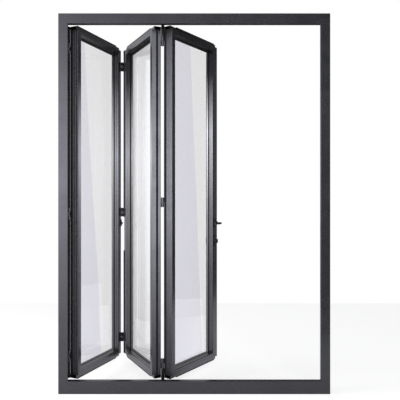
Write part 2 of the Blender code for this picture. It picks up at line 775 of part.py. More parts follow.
def add_cover_rods(jamb):
    """Weld round rods between the jamb's hinges, which close the gap beside the leaf."""
    ends = [LEAF_BOTTOM]
    for height in HINGE_HEIGHTS:
        ends += [height - HINGE_HEIGHT / 2, height + HINGE_HEIGHT / 2]
    ends.append(LEAF_TOP)
    x, y = JAMB_AXIS.x, JAMB_AXIS.y
    rods = bmesh.new()
    spigots = bmesh.new()
    reach = FIT_GAP + WELD_DEPTH
    for low, high in zip(ends[::2], ends[1::2]):
        add_rod(rods, (x, y, low + FIT_GAP), (x, y, high - FIT_GAP), COVER_ROD_RADIUS,
                COVER_ROD_SIDES)
        add_rod(spigots, (x, y, max(low - reach, LEAF_BOTTOM + reach)),
                (x, y, min(high + reach, LEAF_TOP - reach)), BARREL_RADIUS - WELD_DEPTH)
    shape_with(jamb, spigots, "UNION", None)
    shape_with(jamb, rods, "UNION", None)


def build_hinges(frame, first, second, third, leaf_1, leaf_2, leaf_3):
    """Butt hinges at the jamb, at the outward fold and at the carriage."""
    jamb_half = HingeHalf(JAMB_AXIS, -1, 1, OUTER_KNUCKLES, HINGE_HEIGHT, pin_fixed=True)
    jamb_half.weld_to(frame["hinge_jamb"], HINGE_HEIGHTS, None)
    add_cover_rods(frame["hinge_jamb"])
    leaf_half = HingeHalf(JAMB_AXIS, 1, 1, MIDDLE_KNUCKLE, HINGE_HEIGHT)
    leaf_half.weld_to(first["left_stile"], HINGE_HEIGHTS, leaf_1)

    fold_half = HingeHalf(FOLD_AXIS, -1, -1, OUTER_KNUCKLES, HINGE_HEIGHT, pin_fixed=True,
                          reach=FOLD_PLATE_REACH)
    for label, height in zip(("bottom", "middle", "top"), HINGE_HEIGHTS):
        fold_half.build("fold_hinge_" + label, height, leaf_1)
    other_half = HingeHalf(FOLD_AXIS, 1, -1, MIDDLE_KNUCKLE, HINGE_HEIGHT,
                           reach=FOLD_PLATE_REACH)
    other_half.weld_to(second["left_stile"], HINGE_HEIGHTS, leaf_2)

    ends = (CARRIER_HINGE_HEIGHTS[0], CARRIER_HINGE_HEIGHTS[-1])
    middle = (CARRIER_HINGE_HEIGHTS[1],)
    pinned = HingeHalf(CARRIER_AXIS, -1, 1, LOWER_KNUCKLE, HINGE_HEIGHT, pin_fixed=True)
    pinned.weld_to(second["right_stile"], middle, leaf_2)
    lower = HingeHalf(CARRIER_AXIS, -1, 1, LOWER_KNUCKLE, HINGE_HEIGHT)
    lower.weld_to(second["right_stile"], ends, leaf_2)
    upper = HingeHalf(CARRIER_AXIS, 1, 1, UPPER_KNUCKLE, HINGE_HEIGHT)
    upper.weld_to(third["left_stile"], CARRIER_HINGE_HEIGHTS, leaf_3)


RAIL_TOP = SILL_REBATE - SILL_GROOVE_DEPTH + FIT_GAP + RAIL_HEIGHT
WHEEL_CENTRE = RAIL_TOP + FIT_GAP + WHEEL_RADIUS
ARM_TOP = LEAF_BOTTOM - ARM_GAP_BELOW_LEAF
ARM_BOTTOM = ARM_TOP - ARM_THICKNESS
GUIDE_ARM_BOTTOM = LEAF_TOP + ARM_GAP_ABOVE_LEAF


def build_bogie(carriage):
    """Bottom carriage: two cheeks, axles, the arm and the pin that bears the leaves."""
    half = BOGIE_LENGTH / 2
    x = CARRIER_AXIS.x
    inner = WHEEL_WIDTH / 2 + CHEEK_GAP
    bm = bmesh.new()
    add_box(bm, (x - half, GROOVE_MIDDLE - inner - CHEEK_THICKNESS, ARM_BOTTOM - BRIDGE_DROP),
            (x + half, GROOVE_MIDDLE + inner + CHEEK_THICKNESS, ARM_TOP))
    piece = piece_from_bmesh("bottom_carriage", bm, (x, CARRIER_AXIS.y, ARM_TOP),
                             carriage, DARK_HARDWARE)
    cheeks = bmesh.new()
    cheek_bottom = WHEEL_CENTRE - 2 * AXLE_RADIUS
    for face in (-1, 1):
        near = GROOVE_MIDDLE + face * inner
        far = GROOVE_MIDDLE + face * (inner + CHEEK_THICKNESS - WELD_DEPTH)
        add_box(cheeks, (x - half + WELD_DEPTH, min(near, far), cheek_bottom),
                (x + half - WELD_DEPTH, max(near, far), ARM_BOTTOM + WELD_DEPTH))
    shape_with(piece, cheeks, "UNION", carriage)
    arm = bmesh.new()
    add_box(arm, (x - ARM_WIDTH / 2, GROOVE_MIDDLE, ARM_BOTTOM),
            (x + ARM_WIDTH / 2, CARRIER_AXIS.y + ARM_WIDTH / 2, ARM_TOP - WELD_DEPTH))
    shape_with(piece, arm, "UNION", carriage)
    axles = bmesh.new()
    for side in (-1, 1):
        wheel_x = x + side * WHEEL_SPACING / 2
        add_rod(axles, (wheel_x, GROOVE_MIDDLE - inner - WELD_DEPTH, WHEEL_CENTRE),
                (wheel_x, GROOVE_MIDDLE + inner + WELD_DEPTH, WHEEL_CENTRE),
                AXLE_RADIUS, 16)
    shape_with(piece, axles, "UNION", carriage)
    hinge_bottom = CARRIER_HINGE_HEIGHTS[0] - HINGE_HEIGHT / 2
    boss = bmesh.new()
    add_rod(boss, (x, CARRIER_AXIS.y, ARM_BOTTOM + WELD_DEPTH),
            (x, CARRIER_AXIS.y, hinge_bottom - FIT_GAP), COVER_ROD_RADIUS, COVER_ROD_SIDES)
    shape_with(piece, boss, "UNION", carriage)
    pin = bmesh.new()
    add_rod(pin, (x, CARRIER_AXIS.y, hinge_bottom - BARREL_RADIUS),
            (x, CARRIER_AXIS.y, hinge_bottom + HINGE_HEIGHT), CARRIER_PIN_RADIUS, 18)
    shape_with(piece, pin, "UNION", carriage)


def build_wheels(carriage):
    """Two grooved nylon wheels, each a ring on its axle."""
    for side, name in ((-1, "left_wheel"), (1, "right_wheel")):
        place = Vector((CARRIER_AXIS.x + side * WHEEL_SPACING / 2, GROOVE_MIDDLE, WHEEL_CENTRE))
        rim = arc((0, 0), WHEEL_RADIUS, 0, 345, 23)
        bore = arc((0, 0), AXLE_RADIUS + FIT_GAP, 0, 337.5, 15)
        mesh = outline_prism([rim, bore], WHEEL_WIDTH)
        mesh.transform(Matrix.Rotation(pi / 2, 4, "X"))
        smooth_round_faces(mesh, 0.5)
        piece_from_mesh(name, mesh, place, carriage, WHITE_NYLON)


def build_guide(carriage):
    """Top guide: arm over the leaves, pin, stem and nylon guide roller."""
    x = CARRIER_AXIS.x
    arm_top = GUIDE_ARM_BOTTOM + ARM_THICKNESS
    bm = bmesh.new()
    add_box(bm, (x - ARM_WIDTH / 2, GROOVE_MIDDLE - ARM_WIDTH / 2, GUIDE_ARM_BOTTOM),
            (x + ARM_WIDTH / 2, CARRIER_AXIS.y + ARM_WIDTH / 2, arm_top))
    piece = piece_from_bmesh("top_carriage", bm, (x, CARRIER_AXIS.y, GUIDE_ARM_BOTTOM),
                             carriage, DARK_HARDWARE)
    hinge_top = CARRIER_HINGE_HEIGHTS[-1] + HINGE_HEIGHT / 2
    boss = bmesh.new()
    add_rod(boss, (x, CARRIER_AXIS.y, hinge_top + FIT_GAP),
            (x, CARRIER_AXIS.y, GUIDE_ARM_BOTTOM + ARM_THICKNESS / 2),
            COVER_ROD_RADIUS, COVER_ROD_SIDES)
    shape_with(piece, boss, "UNION", carriage)
    rods = bmesh.new()
    add_rod(rods, (x, CARRIER_AXIS.y, hinge_top - HINGE_HEIGHT),
            (x, CARRIER_AXIS.y, hinge_top + BARREL_RADIUS), CARRIER_PIN_RADIUS, 18)
    groove_top = FRAME_HEIGHT - HEAD_REBATE + HEAD_GROOVE_DEPTH
    roller_top = groove_top - LEAF_GAP / 4
    add_rod(rods, (x, GROOVE_MIDDLE, GUIDE_ARM_BOTTOM + ARM_THICKNESS / 2),
            (x, GROOVE_MIDDLE, roller_top), GUIDE_STEM_RADIUS, 16)
    shape_with(piece, rods, "UNION", carriage)
    rim = arc((0, 0), GUIDE_RADIUS, 0, 345, 23)
    bore = arc((0, 0), GUIDE_STEM_RADIUS + FIT_GAP, 0, 337.5, 15)
    mesh = outline_prism([rim, bore], GUIDE_HEIGHT)
    smooth_round_faces(mesh, 0.5)
    roller_place = (x, GROOVE_MIDDLE, arm_top + FIT_GAP + GUIDE_HEIGHT / 2)
    piece_from_mesh("guide_roller", mesh, roller_place, carriage, WHITE_NYLON)


def oval_plate(width, height, thickness):
    """A plate with round ends, lying in XZ and centred on zero."""
    radius = width / 2
    rise = height / 2 - radius
    outline = arc((0, rise), radius, 0, 180, 12) + arc((0, -rise), radius, 180, 360, 12)
    mesh = outline_prism([outline], thickness)
    mesh.transform(Matrix.Rotation(pi / 2, 4, "X"))
    return mesh


def lever_mesh(radius, projection, length, bend, direction, outward):
    """A bent round bar: out from the plate, round a bend and along the grip."""
    curve = bpy.data.curves.new("lever", "CURVE")
    curve.dimensions = "3D"
    curve.bevel_depth = radius
    curve.bevel_resolution = 3
    curve.use_fill_caps = True
    curve.render_resolution_u = 0
    out = Vector((0, outward, 0))
    points = [Vector((0, 0, 0)), out * (projection - bend)]
    for step in range(1, 6):
        angle = pi / 2 * step / 5
        points.append(out * (projection - bend + bend * sin(angle))
                      + direction * bend * (1 - cos(angle)))
    points.append(out * projection + direction * length)
    spline = curve.splines.new("POLY")
    spline.points.add(len(points) - 1)
    for target, point in zip(spline.points, points):
        target.co = (*point, 1)
    mesh = curve_to_mesh(curve)
    smooth_round_faces(mesh, 2)
    return mesh


def build_lock(leaf_3, pieces):
    """Lever, thumb turn, cylinder, case and bolts on the lock stile."""
    front_plate = LEAF_FRONT - FIT_GAP - PLATE_THICKNESS / 2
    back_plate = BACK + FIT_GAP + PLATE_THICKNESS / 2
    plates = {}
    for name, y, height, tall in (
            ("lever_plate", front_plate, LEVER_HEIGHT, LEVER_PLATE_HEIGHT),
            ("turn_plate", front_plate, TURN_HEIGHT, TURN_PLATE_HEIGHT),
            ("outside_plate", back_plate, TURN_HEIGHT, TURN_PLATE_HEIGHT)):
        mesh = oval_plate(PLATE_WIDTH, tall, PLATE_THICKNESS)
        plates[name] = piece_from_mesh(name, mesh, (LOCK_AXIS, y, height), leaf_3, DARK_HARDWARE)
    stile = pieces["right_stile"]
    past_front = LEAF_FRONT - PLATE_THICKNESS - WALL
    past_back = BACK + PLATE_THICKNESS + WALL
    spindle_end = BACK - 2 * WALL
    holes = ((LEVER_HEIGHT, SPINDLE_RADIUS, spindle_end, (plates["lever_plate"],)),
             (TURN_HEIGHT, TURN_SPINDLE_RADIUS, past_back,
              (plates["turn_plate"], plates["outside_plate"])))
    for height, radius, end, plates_here in holes:
        for piece in (*plates_here, stile):
            cut_rod(piece, (LOCK_AXIS, past_front, height), (LOCK_AXIS, end, height),
                    radius + FIT_GAP, leaf_3)

    front_face = LEAF_FRONT - FIT_GAP - PLATE_THICKNESS
    back_face = BACK + FIT_GAP + PLATE_THICKNESS
    mesh = lever_mesh(LEVER_RADIUS, LEVER_PROJECTION, LEVER_LENGTH, LEVER_BEND,
                      Vector((-1, 0, 0)), -1)
    lever = piece_from_mesh("lever_inside", mesh, (LOCK_AXIS, front_face - FIT_GAP, LEVER_HEIGHT),
                            leaf_3, DARK_HARDWARE)
    bm = bmesh.new()
    add_rod(bm, (LOCK_AXIS, front_face - LEVER_RADIUS, LEVER_HEIGHT),
            (LOCK_AXIS, spindle_end - FIT_GAP, LEVER_HEIGHT), SPINDLE_RADIUS, 4)
    shape_with(lever, bm, "UNION", leaf_3)

    build_thumb_turn(leaf_3, front_face, back_face)
    build_lock_case(leaf_3, stile)


def build_thumb_turn(leaf_3, front_face, back_face):
    hub_face = front_face - FIT_GAP
    bm = bmesh.new()
    add_rod(bm, (LOCK_AXIS, hub_face - TURN_HUB_LENGTH, TURN_HEIGHT),
            (LOCK_AXIS, hub_face, TURN_HEIGHT), TURN_HUB_RADIUS, 24)
    turn = piece_from_bmesh("thumb_turn", bm, (LOCK_AXIS, hub_face, TURN_HEIGHT),
                            leaf_3, DARK_HARDWARE)
    wing = bmesh.new()
    add_box(wing, (LOCK_AXIS - TURN_WING_THICKNESS / 2, hub_face - TURN_WING_DEPTH,
                   TURN_HEIGHT - TURN_WING_LENGTH / 2),
            (LOCK_AXIS + TURN_WING_THICKNESS / 2, hub_face - TURN_HUB_LENGTH / 2,
             TURN_HEIGHT + TURN_WING_LENGTH / 2))
    shape_with(turn, wing, "UNION", leaf_3)
    tail = bmesh.new()
    add_rod(tail, (LOCK_AXIS, hub_face - TURN_HUB_LENGTH / 2, TURN_HEIGHT),
            (LOCK_AXIS, back_face - PLATE_THICKNESS / 2, TURN_HEIGHT), TURN_SPINDLE_RADIUS, 16)
    shape_with(turn, tail, "UNION", leaf_3)
    bm = bmesh.new()
    add_rod(bm, (LOCK_AXIS, back_face + FIT_GAP, TURN_HEIGHT),
            (LOCK_AXIS, back_face + FIT_GAP + CYLINDER_LENGTH, TURN_HEIGHT), CYLINDER_RADIUS, 24)
    cylinder = piece_from_bmesh("key_cylinder", bm, (LOCK_AXIS, back_face, TURN_HEIGHT),
                                leaf_3, STAINLESS)
    cut_box(cylinder, (LOCK_AXIS - KEYWAY_WIDTH / 2, back_face + CYLINDER_LENGTH / 2,
                       TURN_HEIGHT - KEYWAY_HEIGHT / 2),
            (LOCK_AXIS + KEYWAY_WIDTH / 2, back_face + 2 * CYLINDER_LENGTH,
             TURN_HEIGHT + KEYWAY_HEIGHT / 2), leaf_3)


def build_lock_case(leaf_3, stile):
    """Case with its faceplate in the stile, latch bolt and dead bolt."""
    case_bottom = TURN_HEIGHT - LOCK_CASE_BELOW_TURN
    case_top = LEVER_HEIGHT + LOCK_CASE_ABOVE_LEVER
    case_right = RIGHT_EDGE - WALL - FIT_GAP
    case_left = case_right - LOCK_CASE_WIDTH
    half = LOCK_CASE_DEPTH / 2
    bm = bmesh.new()
    add_box(bm, (case_left, BOLT_PLANE - half, case_bottom),
            (case_right, BOLT_PLANE + half, case_top))
    case = piece_from_bmesh("lock_case", bm, (LOCK_AXIS, BOLT_PLANE, LEVER_HEIGHT),
                            leaf_3, STAINLESS)
    cut_box(case, (case_left + LOCK_CASE_WALL, BOLT_PLANE - half + LOCK_CASE_WALL,
                   case_bottom + LOCK_CASE_WALL),
            (case_right + WALL, BOLT_PLANE + half - LOCK_CASE_WALL,
             case_top - LOCK_CASE_WALL), leaf_3)
    for height, radius in ((LEVER_HEIGHT, SPINDLE_RADIUS), (TURN_HEIGHT, TURN_SPINDLE_RADIUS)):
        cut_rod(case, (LOCK_AXIS, BOLT_PLANE - 2 * half, height),
                (LOCK_AXIS, BOLT_PLANE + 2 * half, height), radius + FIT_GAP, leaf_3)

    plate_half = FACEPLATE_WIDTH / 2
    cut_box(stile, (case_right, BOLT_PLANE - plate_half - FIT_GAP, case_bottom - FIT_GAP),
            (RIGHT_EDGE + WALL, BOLT_PLANE + plate_half + FIT_GAP, case_top + FIT_GAP), leaf_3)
    faceplate = bmesh.new()
    add_box(faceplate, (case_right - WELD_DEPTH, BOLT_PLANE - plate_half, case_bottom),
            (RIGHT_EDGE, BOLT_PLANE + plate_half, case_top))
    shape_with(case, faceplate, "UNION", leaf_3)
    bolts = (("latch_bolt", LEVER_HEIGHT, LATCH_SIZE, LATCH_THROW),
             ("dead_bolt", DEAD_BOLT_HEIGHT, DEAD_BOLT_SIZE, -DEAD_BOLT_SETBACK))
    for name, height, size, stick_out in bolts:
        nose = RIGHT_EDGE + stick_out
        half_y, half_z = size[1] / 2, size[2] / 2
        bm = bmesh.new()
        add_box(bm, (nose - size[0], BOLT_PLANE - half_y, height - half_z),
                (nose, BOLT_PLANE + half_y, height + half_z))
        piece_from_bmesh(name, bm, (nose, BOLT_PLANE, height), leaf_3, STAINLESS)
        cut_box(case, (RIGHT_EDGE - 2 * WALL, BOLT_PLANE - half_y - FIT_GAP,
                            height - half_z - FIT_GAP),
                (RIGHT_EDGE + WALL, BOLT_PLANE + half_y + FIT_GAP,
                 height + half_z + FIT_GAP), leaf_3)


def build_keeps(frame):
    """Keep plate for the lock, and the holes in the profiles for all bolts."""
    rebate = HALF_WIDTH - JAMB_REBATE
    bm = bmesh.new()
    add_box(bm, (rebate - FIT_GAP - KEEP_THICKNESS, BOLT_PLANE - KEEP_WIDTH / 2,
                 DEAD_BOLT_HEIGHT - KEEP_BORDER),
            (rebate - FIT_GAP, BOLT_PLANE + KEEP_WIDTH / 2, LEVER_HEIGHT + KEEP_BORDER))
    keep = piece_from_bmesh("lock_keep", bm, (rebate, BOLT_PLANE, LEVER_HEIGHT),
                            None, STAINLESS)
    bolts = ((LEVER_HEIGHT, LATCH_SIZE), (DEAD_BOLT_HEIGHT, DEAD_BOLT_SIZE))
    for height, size in bolts:
        half_bolt = size[1] / 2 + KEEP_CLEARANCE
        tall = size[2] / 2 + KEEP_CLEARANCE
        low = (rebate - 2 * KEEP_THICKNESS, BOLT_PLANE - half_bolt, height - tall)
        high = (rebate + 2 * WALL, BOLT_PLANE + half_bolt, height + tall)
        cut_box(keep, low, high, None)
        cut_box(frame["lock_jamb"], low, high, None)
    hole = SHOOT_ROD_RADIUS + SHOOT_HOLE_CLEARANCE
    for label, height in (("head", FRAME_HEIGHT - HEAD_REBATE), ("sill", SILL_REBATE)):
        cut_rod(frame[label], (ROD_X, ROD_Y, height - 2 * WALL),
                (ROD_X, ROD_Y, height + 2 * WALL), hole, None)


def build_shoot_bolts(leaf_1, pieces):
    """Handle, gear box and the two rods that bolt the first leaf to the frame."""
    axis_x = LEAF_1_RIGHT_EDGE - SHOOT_AXIS_FROM_EDGE
    plate_x = LEAF_1_RIGHT_EDGE - PLATE_WIDTH / 2
    plate_face = LEAF_FRONT - FIT_GAP - SHOOT_PLATE_THICKNESS
    plate_mesh = oval_plate(PLATE_WIDTH, LEVER_PLATE_HEIGHT, SHOOT_PLATE_THICKNESS)
    plate_y = LEAF_FRONT - FIT_GAP - SHOOT_PLATE_THICKNESS / 2
    plate = piece_from_mesh("shoot_bolt_plate", plate_mesh,
                            (plate_x, plate_y, SHOOT_HANDLE_HEIGHT), leaf_1, DARK_HARDWARE)

    gear_half = SHOOT_GEAR_SIZE[1] / 2
    gear_left = LEAF_1_RIGHT_EDGE - WALL - FIT_GAP - SHOOT_GEAR_SIZE[0]
    outline = [(0, -gear_half), (SHOOT_GEAR_SIZE[0], -gear_half),
               (SHOOT_GEAR_SIZE[0], gear_half), (0, gear_half)]
    wall = SHOOT_GEAR_WALL
    bore = [(wall, wall - gear_half), (SHOOT_GEAR_SIZE[0] - wall, wall - gear_half),
            (SHOOT_GEAR_SIZE[0] - wall, gear_half - wall), (wall, gear_half - wall)]
    gear = piece_from_mesh("shoot_bolt_gear_box", outline_prism([outline, bore], SHOOT_GEAR_SIZE[2]),
                           (gear_left, ROD_Y, SHOOT_HANDLE_HEIGHT), leaf_1, STAINLESS)
    spindle_end = ROD_Y - SHOOT_ROD_RADIUS - FIT_GAP
    hole_start = (axis_x, plate_face - WALL, SHOOT_HANDLE_HEIGHT)
    hole_end = (axis_x, spindle_end, SHOOT_HANDLE_HEIGHT)
    for piece in (plate, gear, pieces["right_stile"]):
        cut_rod(piece, hole_start, hole_end, SHOOT_SPINDLE_RADIUS + FIT_GAP, leaf_1)

    droop = radians(SHOOT_LEVER_DROOP)
    grip = Vector((-cos(droop), 0, -sin(droop)))
    mesh = lever_mesh(SHOOT_LEVER_RADIUS, SHOOT_LEVER_PROJECTION,
                      SHOOT_LEVER_LENGTH, SHOOT_LEVER_RADIUS, grip, -1)
    lever = piece_from_mesh("shoot_bolt_lever", mesh,
                            (axis_x, plate_face - FIT_GAP, SHOOT_HANDLE_HEIGHT),
                            leaf_1, DARK_HARDWARE)
    bm = bmesh.new()
    add_rod(bm, (axis_x, plate_face - SHOOT_SPINDLE_RADIUS, SHOOT_HANDLE_HEIGHT),
            (axis_x, spindle_end, SHOOT_HANDLE_HEIGHT), SHOOT_SPINDLE_RADIUS, 4)
    shape_with(lever, bm, "UNION", leaf_1)

    top_end = LEAF_TOP - SHOOT_ROD_RETRACT
    bottom_end = LEAF_BOTTOM + SHOOT_ROD_RETRACT
    rods = (("top_shoot_bolt", SHOOT_HANDLE_HEIGHT + SHOOT_ROD_START, top_end),
            ("bottom_shoot_bolt", bottom_end, SHOOT_HANDLE_HEIGHT - SHOOT_ROD_START))
    for name, low, high in rods:
        bm = bmesh.new()
        add_rod(bm, (ROD_X, ROD_Y, low), (ROD_X, ROD_Y, high), SHOOT_ROD_RADIUS, 16)
        piece_from_bmesh(name, bm, (ROD_X, ROD_Y, high), leaf_1, STAINLESS, True)
    hole = SHOOT_ROD_RADIUS + FIT_GAP
    spans = {
        "top_rail": (CORE_TOP - STILE_WIDTH, LEAF_TOP + WALL),
        "bottom_rail": (LEAF_BOTTOM - WALL, CORE_BOTTOM + STILE_WIDTH),
    }
    for label, (low, high) in spans.items():
        cut_rod(pieces[label], (ROD_X, ROD_Y, low), (ROD_X, ROD_Y, high), hole, leaf_1)


def build_door():
    """Lay out the shut door, then fold the pivots to the rest position."""
    frame = build_frame()
    leaf_1 = pivot("leaf_1_pivot", JAMB_AXIS)
    leaf_2 = pivot("leaf_2_pivot", FOLD_AXIS, leaf_1)
    carriage = pivot("carriage_pivot", CARRIER_AXIS, leaf_2)
    leaf_3 = pivot("leaf_3_pivot", CARRIER_AXIS, carriage)
    first = build_leaf(1, LEFT_EDGE, leaf_1)
    second = build_leaf(2, LEFT_EDGE + LEAF_PITCH, leaf_2)
    third = build_leaf(3, LEFT_EDGE + 2 * LEAF_PITCH, leaf_3, lock_stile=True)
    build_hinges(frame, first, second, third, leaf_1, leaf_2, leaf_3)
    build_bogie(carriage)
    build_wheels(carriage)
    build_guide(carriage)
    build_lock(leaf_3, third)
    build_keeps(frame)
    build_shoot_bolts(leaf_1, first)
    leaf_1.rotation_euler.z = radians(FOLD_ANGLE)
    leaf_2.rotation_euler.z = radians(-2 * FOLD_ANGLE)
    carriage.rotation_euler.z = radians(FOLD_ANGLE)
    leaf_3.rotation_euler.z = radians(SWING_ANGLE)
    bpy.context.view_layer.update()


build_door()
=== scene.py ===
"""Studio picture of a three-leaf folding door in anthracite aluminium and glass."""

import json
from math import cos, pi, radians, sin

import bmesh
import bpy
from mathutils import Matrix, Vector


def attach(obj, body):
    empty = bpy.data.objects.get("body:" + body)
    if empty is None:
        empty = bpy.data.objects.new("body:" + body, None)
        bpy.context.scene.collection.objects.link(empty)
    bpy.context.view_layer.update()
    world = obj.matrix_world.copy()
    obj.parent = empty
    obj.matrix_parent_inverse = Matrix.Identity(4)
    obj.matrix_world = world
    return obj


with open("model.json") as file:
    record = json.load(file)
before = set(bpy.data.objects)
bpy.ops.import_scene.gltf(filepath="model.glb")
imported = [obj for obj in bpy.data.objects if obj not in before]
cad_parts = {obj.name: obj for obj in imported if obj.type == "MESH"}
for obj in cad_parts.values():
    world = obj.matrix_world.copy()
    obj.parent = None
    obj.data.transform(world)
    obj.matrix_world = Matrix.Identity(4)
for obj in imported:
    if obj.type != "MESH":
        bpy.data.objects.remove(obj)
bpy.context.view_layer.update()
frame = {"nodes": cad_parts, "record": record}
nodes = frame["nodes"]

# Sizes of the shut door that the added pieces are fitted to, in metres
BACK = 0.036
LEAF_FRONT = -0.019
LEAF_BOTTOM = 0.063
LEAF_TOP = 2.052
CORE_BOTTOM = 0.0828
CORE_TOP = 2.0322
LEAF_WIDTH = 0.466333
LEAF_PITCH = 0.474333
FIRST_EDGE = -0.706
STILE = 0.030
LOCK_STILE = 0.046
FRAME_SIDE = 0.750
KEEP_FACE = 0.714
HINGE_OFFSET = 0.0095
HINGE_TALL = 0.056
HINGE_HEIGHTS = (0.187, 0.991, 1.928)
CARRIER_HEIGHTS = (0.143, 1.0575, 1.972)
LEVER_HEIGHT = 0.925
TURN_HEIGHT = 0.813
SHOOT_HEIGHT = 0.924
LEVER_CLEARANCE = [0.745, 0.9616]

# How far an added piece is let into the face that it sits on
SINK = 0.0002
SEAT = 0.0003

# Fold of the leaves at rest, and the upright axes that they turn on
FOLD_ANGLE = radians(65.0)
SWING_ANGLE = radians(52.7)
JAMB_AXIS = Vector((FIRST_EDGE - 0.004, BACK + HINGE_OFFSET, 0))
FOLD_AXIS = Vector((JAMB_AXIS.x + LEAF_PITCH, LEAF_FRONT - HINGE_OFFSET, 0))
CARRIER_AXIS = Vector((JAMB_AXIS.x + 2 * LEAF_PITCH, BACK + HINGE_OFFSET, 0))


def turned(axis, angle):
    """Turn about an upright axis."""
    return Matrix.Translation(axis) @ Matrix.Rotation(angle, 4, "Z") @ Matrix.Translation(-axis)


# Where each body stands at rest, against its place in the shut door
FOLDED = {"frame": Matrix.Identity(4), "leaf_1": turned(JAMB_AXIS, FOLD_ANGLE)}
FOLDED["leaf_2"] = FOLDED["leaf_1"] @ turned(FOLD_AXIS, -2 * FOLD_ANGLE)
FOLDED["carriage"] = FOLDED["leaf_2"] @ turned(CARRIER_AXIS, FOLD_ANGLE)
FOLDED["leaf_3"] = FOLDED["carriage"] @ turned(CARRIER_AXIS, SWING_ANGLE)
FOLDED["lever"] = FOLDED["turn"] = FOLDED["leaf_3"]
FOLDED["shoot_bolt_handle"] = FOLDED["leaf_1"]


def feed(tree, value, socket):
    """Set a socket to a plain number, or link another socket to it."""
    if isinstance(value, (int, float)):
        socket.default_value = value
    else:
        tree.links.new(value, socket)


def new_group(name, inputs, outputs):
    """Start a node group with named sockets and hand back its two ends."""
    group = bpy.data.node_groups.new(name, "ShaderNodeTree")
    for label, kind, value in inputs:
        socket = group.interface.new_socket(label, in_out="INPUT", socket_type=kind)
        socket.default_value = value
    for label, kind in outputs:
        group.interface.new_socket(label, in_out="OUTPUT", socket_type=kind)
    return group, group.nodes.new("NodeGroupInput"), group.nodes.new("NodeGroupOutput")


def noise_node(tree, coordinates, scale, detail):
    """Noise over the given coordinates, from 0 to 1."""
    noise = tree.nodes.new("ShaderNodeTexNoise")
    noise.inputs["Detail"].default_value = detail
    feed(tree, scale, noise.inputs["Scale"])
    tree.links.new(coordinates, noise.inputs["Vector"])
    return noise.outputs["Fac"]


def stretch(tree, source, start, end, low=0.0, high=1.0):
    """Spread the part of a value between start and end from low to high."""
    mapped = tree.nodes.new("ShaderNodeMapRange")
    tree.links.new(source, mapped.inputs["Value"])
    for label, value in (("From Min", start), ("From Max", end), ("To Min", low),
                         ("To Max", high)):
        feed(tree, value, mapped.inputs[label])
    return mapped.outputs["Result"]


def math_node(tree, operation, *values):
    """One step of arithmetic on sockets or plain numbers."""
    step = tree.nodes.new("ShaderNodeMath")
    step.operation = operation
    for slot, value in zip(step.inputs, values):
        feed(tree, value, slot)
    return step.outputs["Value"]


def colour_mix(tree, share):
    """A node that mixes its colours A and B by a mask."""
    mix = tree.nodes.new("ShaderNodeMix")
    mix.data_type = "RGBA"
    tree.links.new(share, mix.inputs["Factor"])
    return mix


def shader_mix(tree, share, first, second):
    """Mix two shaders by a number or by a socket."""
    mix = tree.nodes.new("ShaderNodeMixShader")
    feed(tree, share, mix.inputs["Fac"])
    tree.links.new(first, mix.inputs[1])
    tree.links.new(second, mix.inputs[2])
    return mix.outputs["Shader"]


def axes(tree, place):
    """The X, Y and Z of a place or a direction."""
    split = tree.nodes.new("ShaderNodeSeparateXYZ")
    tree.links.new(place, split.inputs["Vector"])
    return split.outputs["X"], split.outputs["Y"], split.outputs["Z"]


def grey_ramp(tree, position, stops):
    """Grey levels laid out along a 0 to 1 value."""
    ramp = tree.nodes.new("ShaderNodeValToRGB")
    elements = ramp.color_ramp.elements
    while len(elements) < len(stops):
        elements.new(0.5)
    for element, (place, level) in zip(elements, stops):
        element.position = place
        element.color = (level, level, level, 1)
    tree.links.new(position, ramp.inputs["Fac"])
    return ramp.outputs["Color"]


def shade_between(group, start, end, mask):
    """Send the group's two shades, mixed by a mask, to its Base Color."""
    mix = colour_mix(group, mask)
    group.links.new(start.outputs["Shade"], mix.inputs["A"])
    group.links.new(start.outputs["Second Shade"], mix.inputs["B"])
    group.links.new(mix.outputs["Result"], end.inputs["Base Color"])


NOISE_LOW, NOISE_HIGH = 0.3, 0.7
SURFACE_OUTPUTS = [("Base Color", "NodeSocketColor"), ("Roughness", "NodeSocketFloat"),
                   ("Bump Height", "NodeSocketFloat")]


def coated_surface_group():
    """Fine orange peel, slow gloss changes and a faint drift in shade."""
    drift_scale, drift_detail = 5.0, 4.0
    smudge_scale, smudge_detail = 14.0, 5.0
    grain_detail = 1.0
    group, start, end = new_group(
        "coated_surface",
        [("Shade", "NodeSocketColor", (0.05, 0.05, 0.06, 1)),
         ("Second Shade", "NodeSocketColor", (0.06, 0.06, 0.07, 1)),
         ("Gloss Low", "NodeSocketFloat", 0.38),
         ("Gloss High", "NodeSocketFloat", 0.48),
         ("Grain Scale", "NodeSocketFloat", 900.0)], SURFACE_OUTPUTS)
    place = group.nodes.new("ShaderNodeTexCoord").outputs["Object"]
    drift = noise_node(group, place, drift_scale, drift_detail)
    shade_between(group, start, end, stretch(group, drift, NOISE_LOW, NOISE_HIGH))
    smudge = noise_node(group, place, smudge_scale, smudge_detail)
    gloss = stretch(group, smudge, NOISE_LOW, NOISE_HIGH, start.outputs["Gloss Low"],
                    start.outputs["Gloss High"])
    grain = noise_node(group, place, start.outputs["Grain Scale"], grain_detail)
    group.links.new(gloss, end.inputs["Roughness"])
    group.links.new(grain, end.inputs["Bump Height"])
    return group


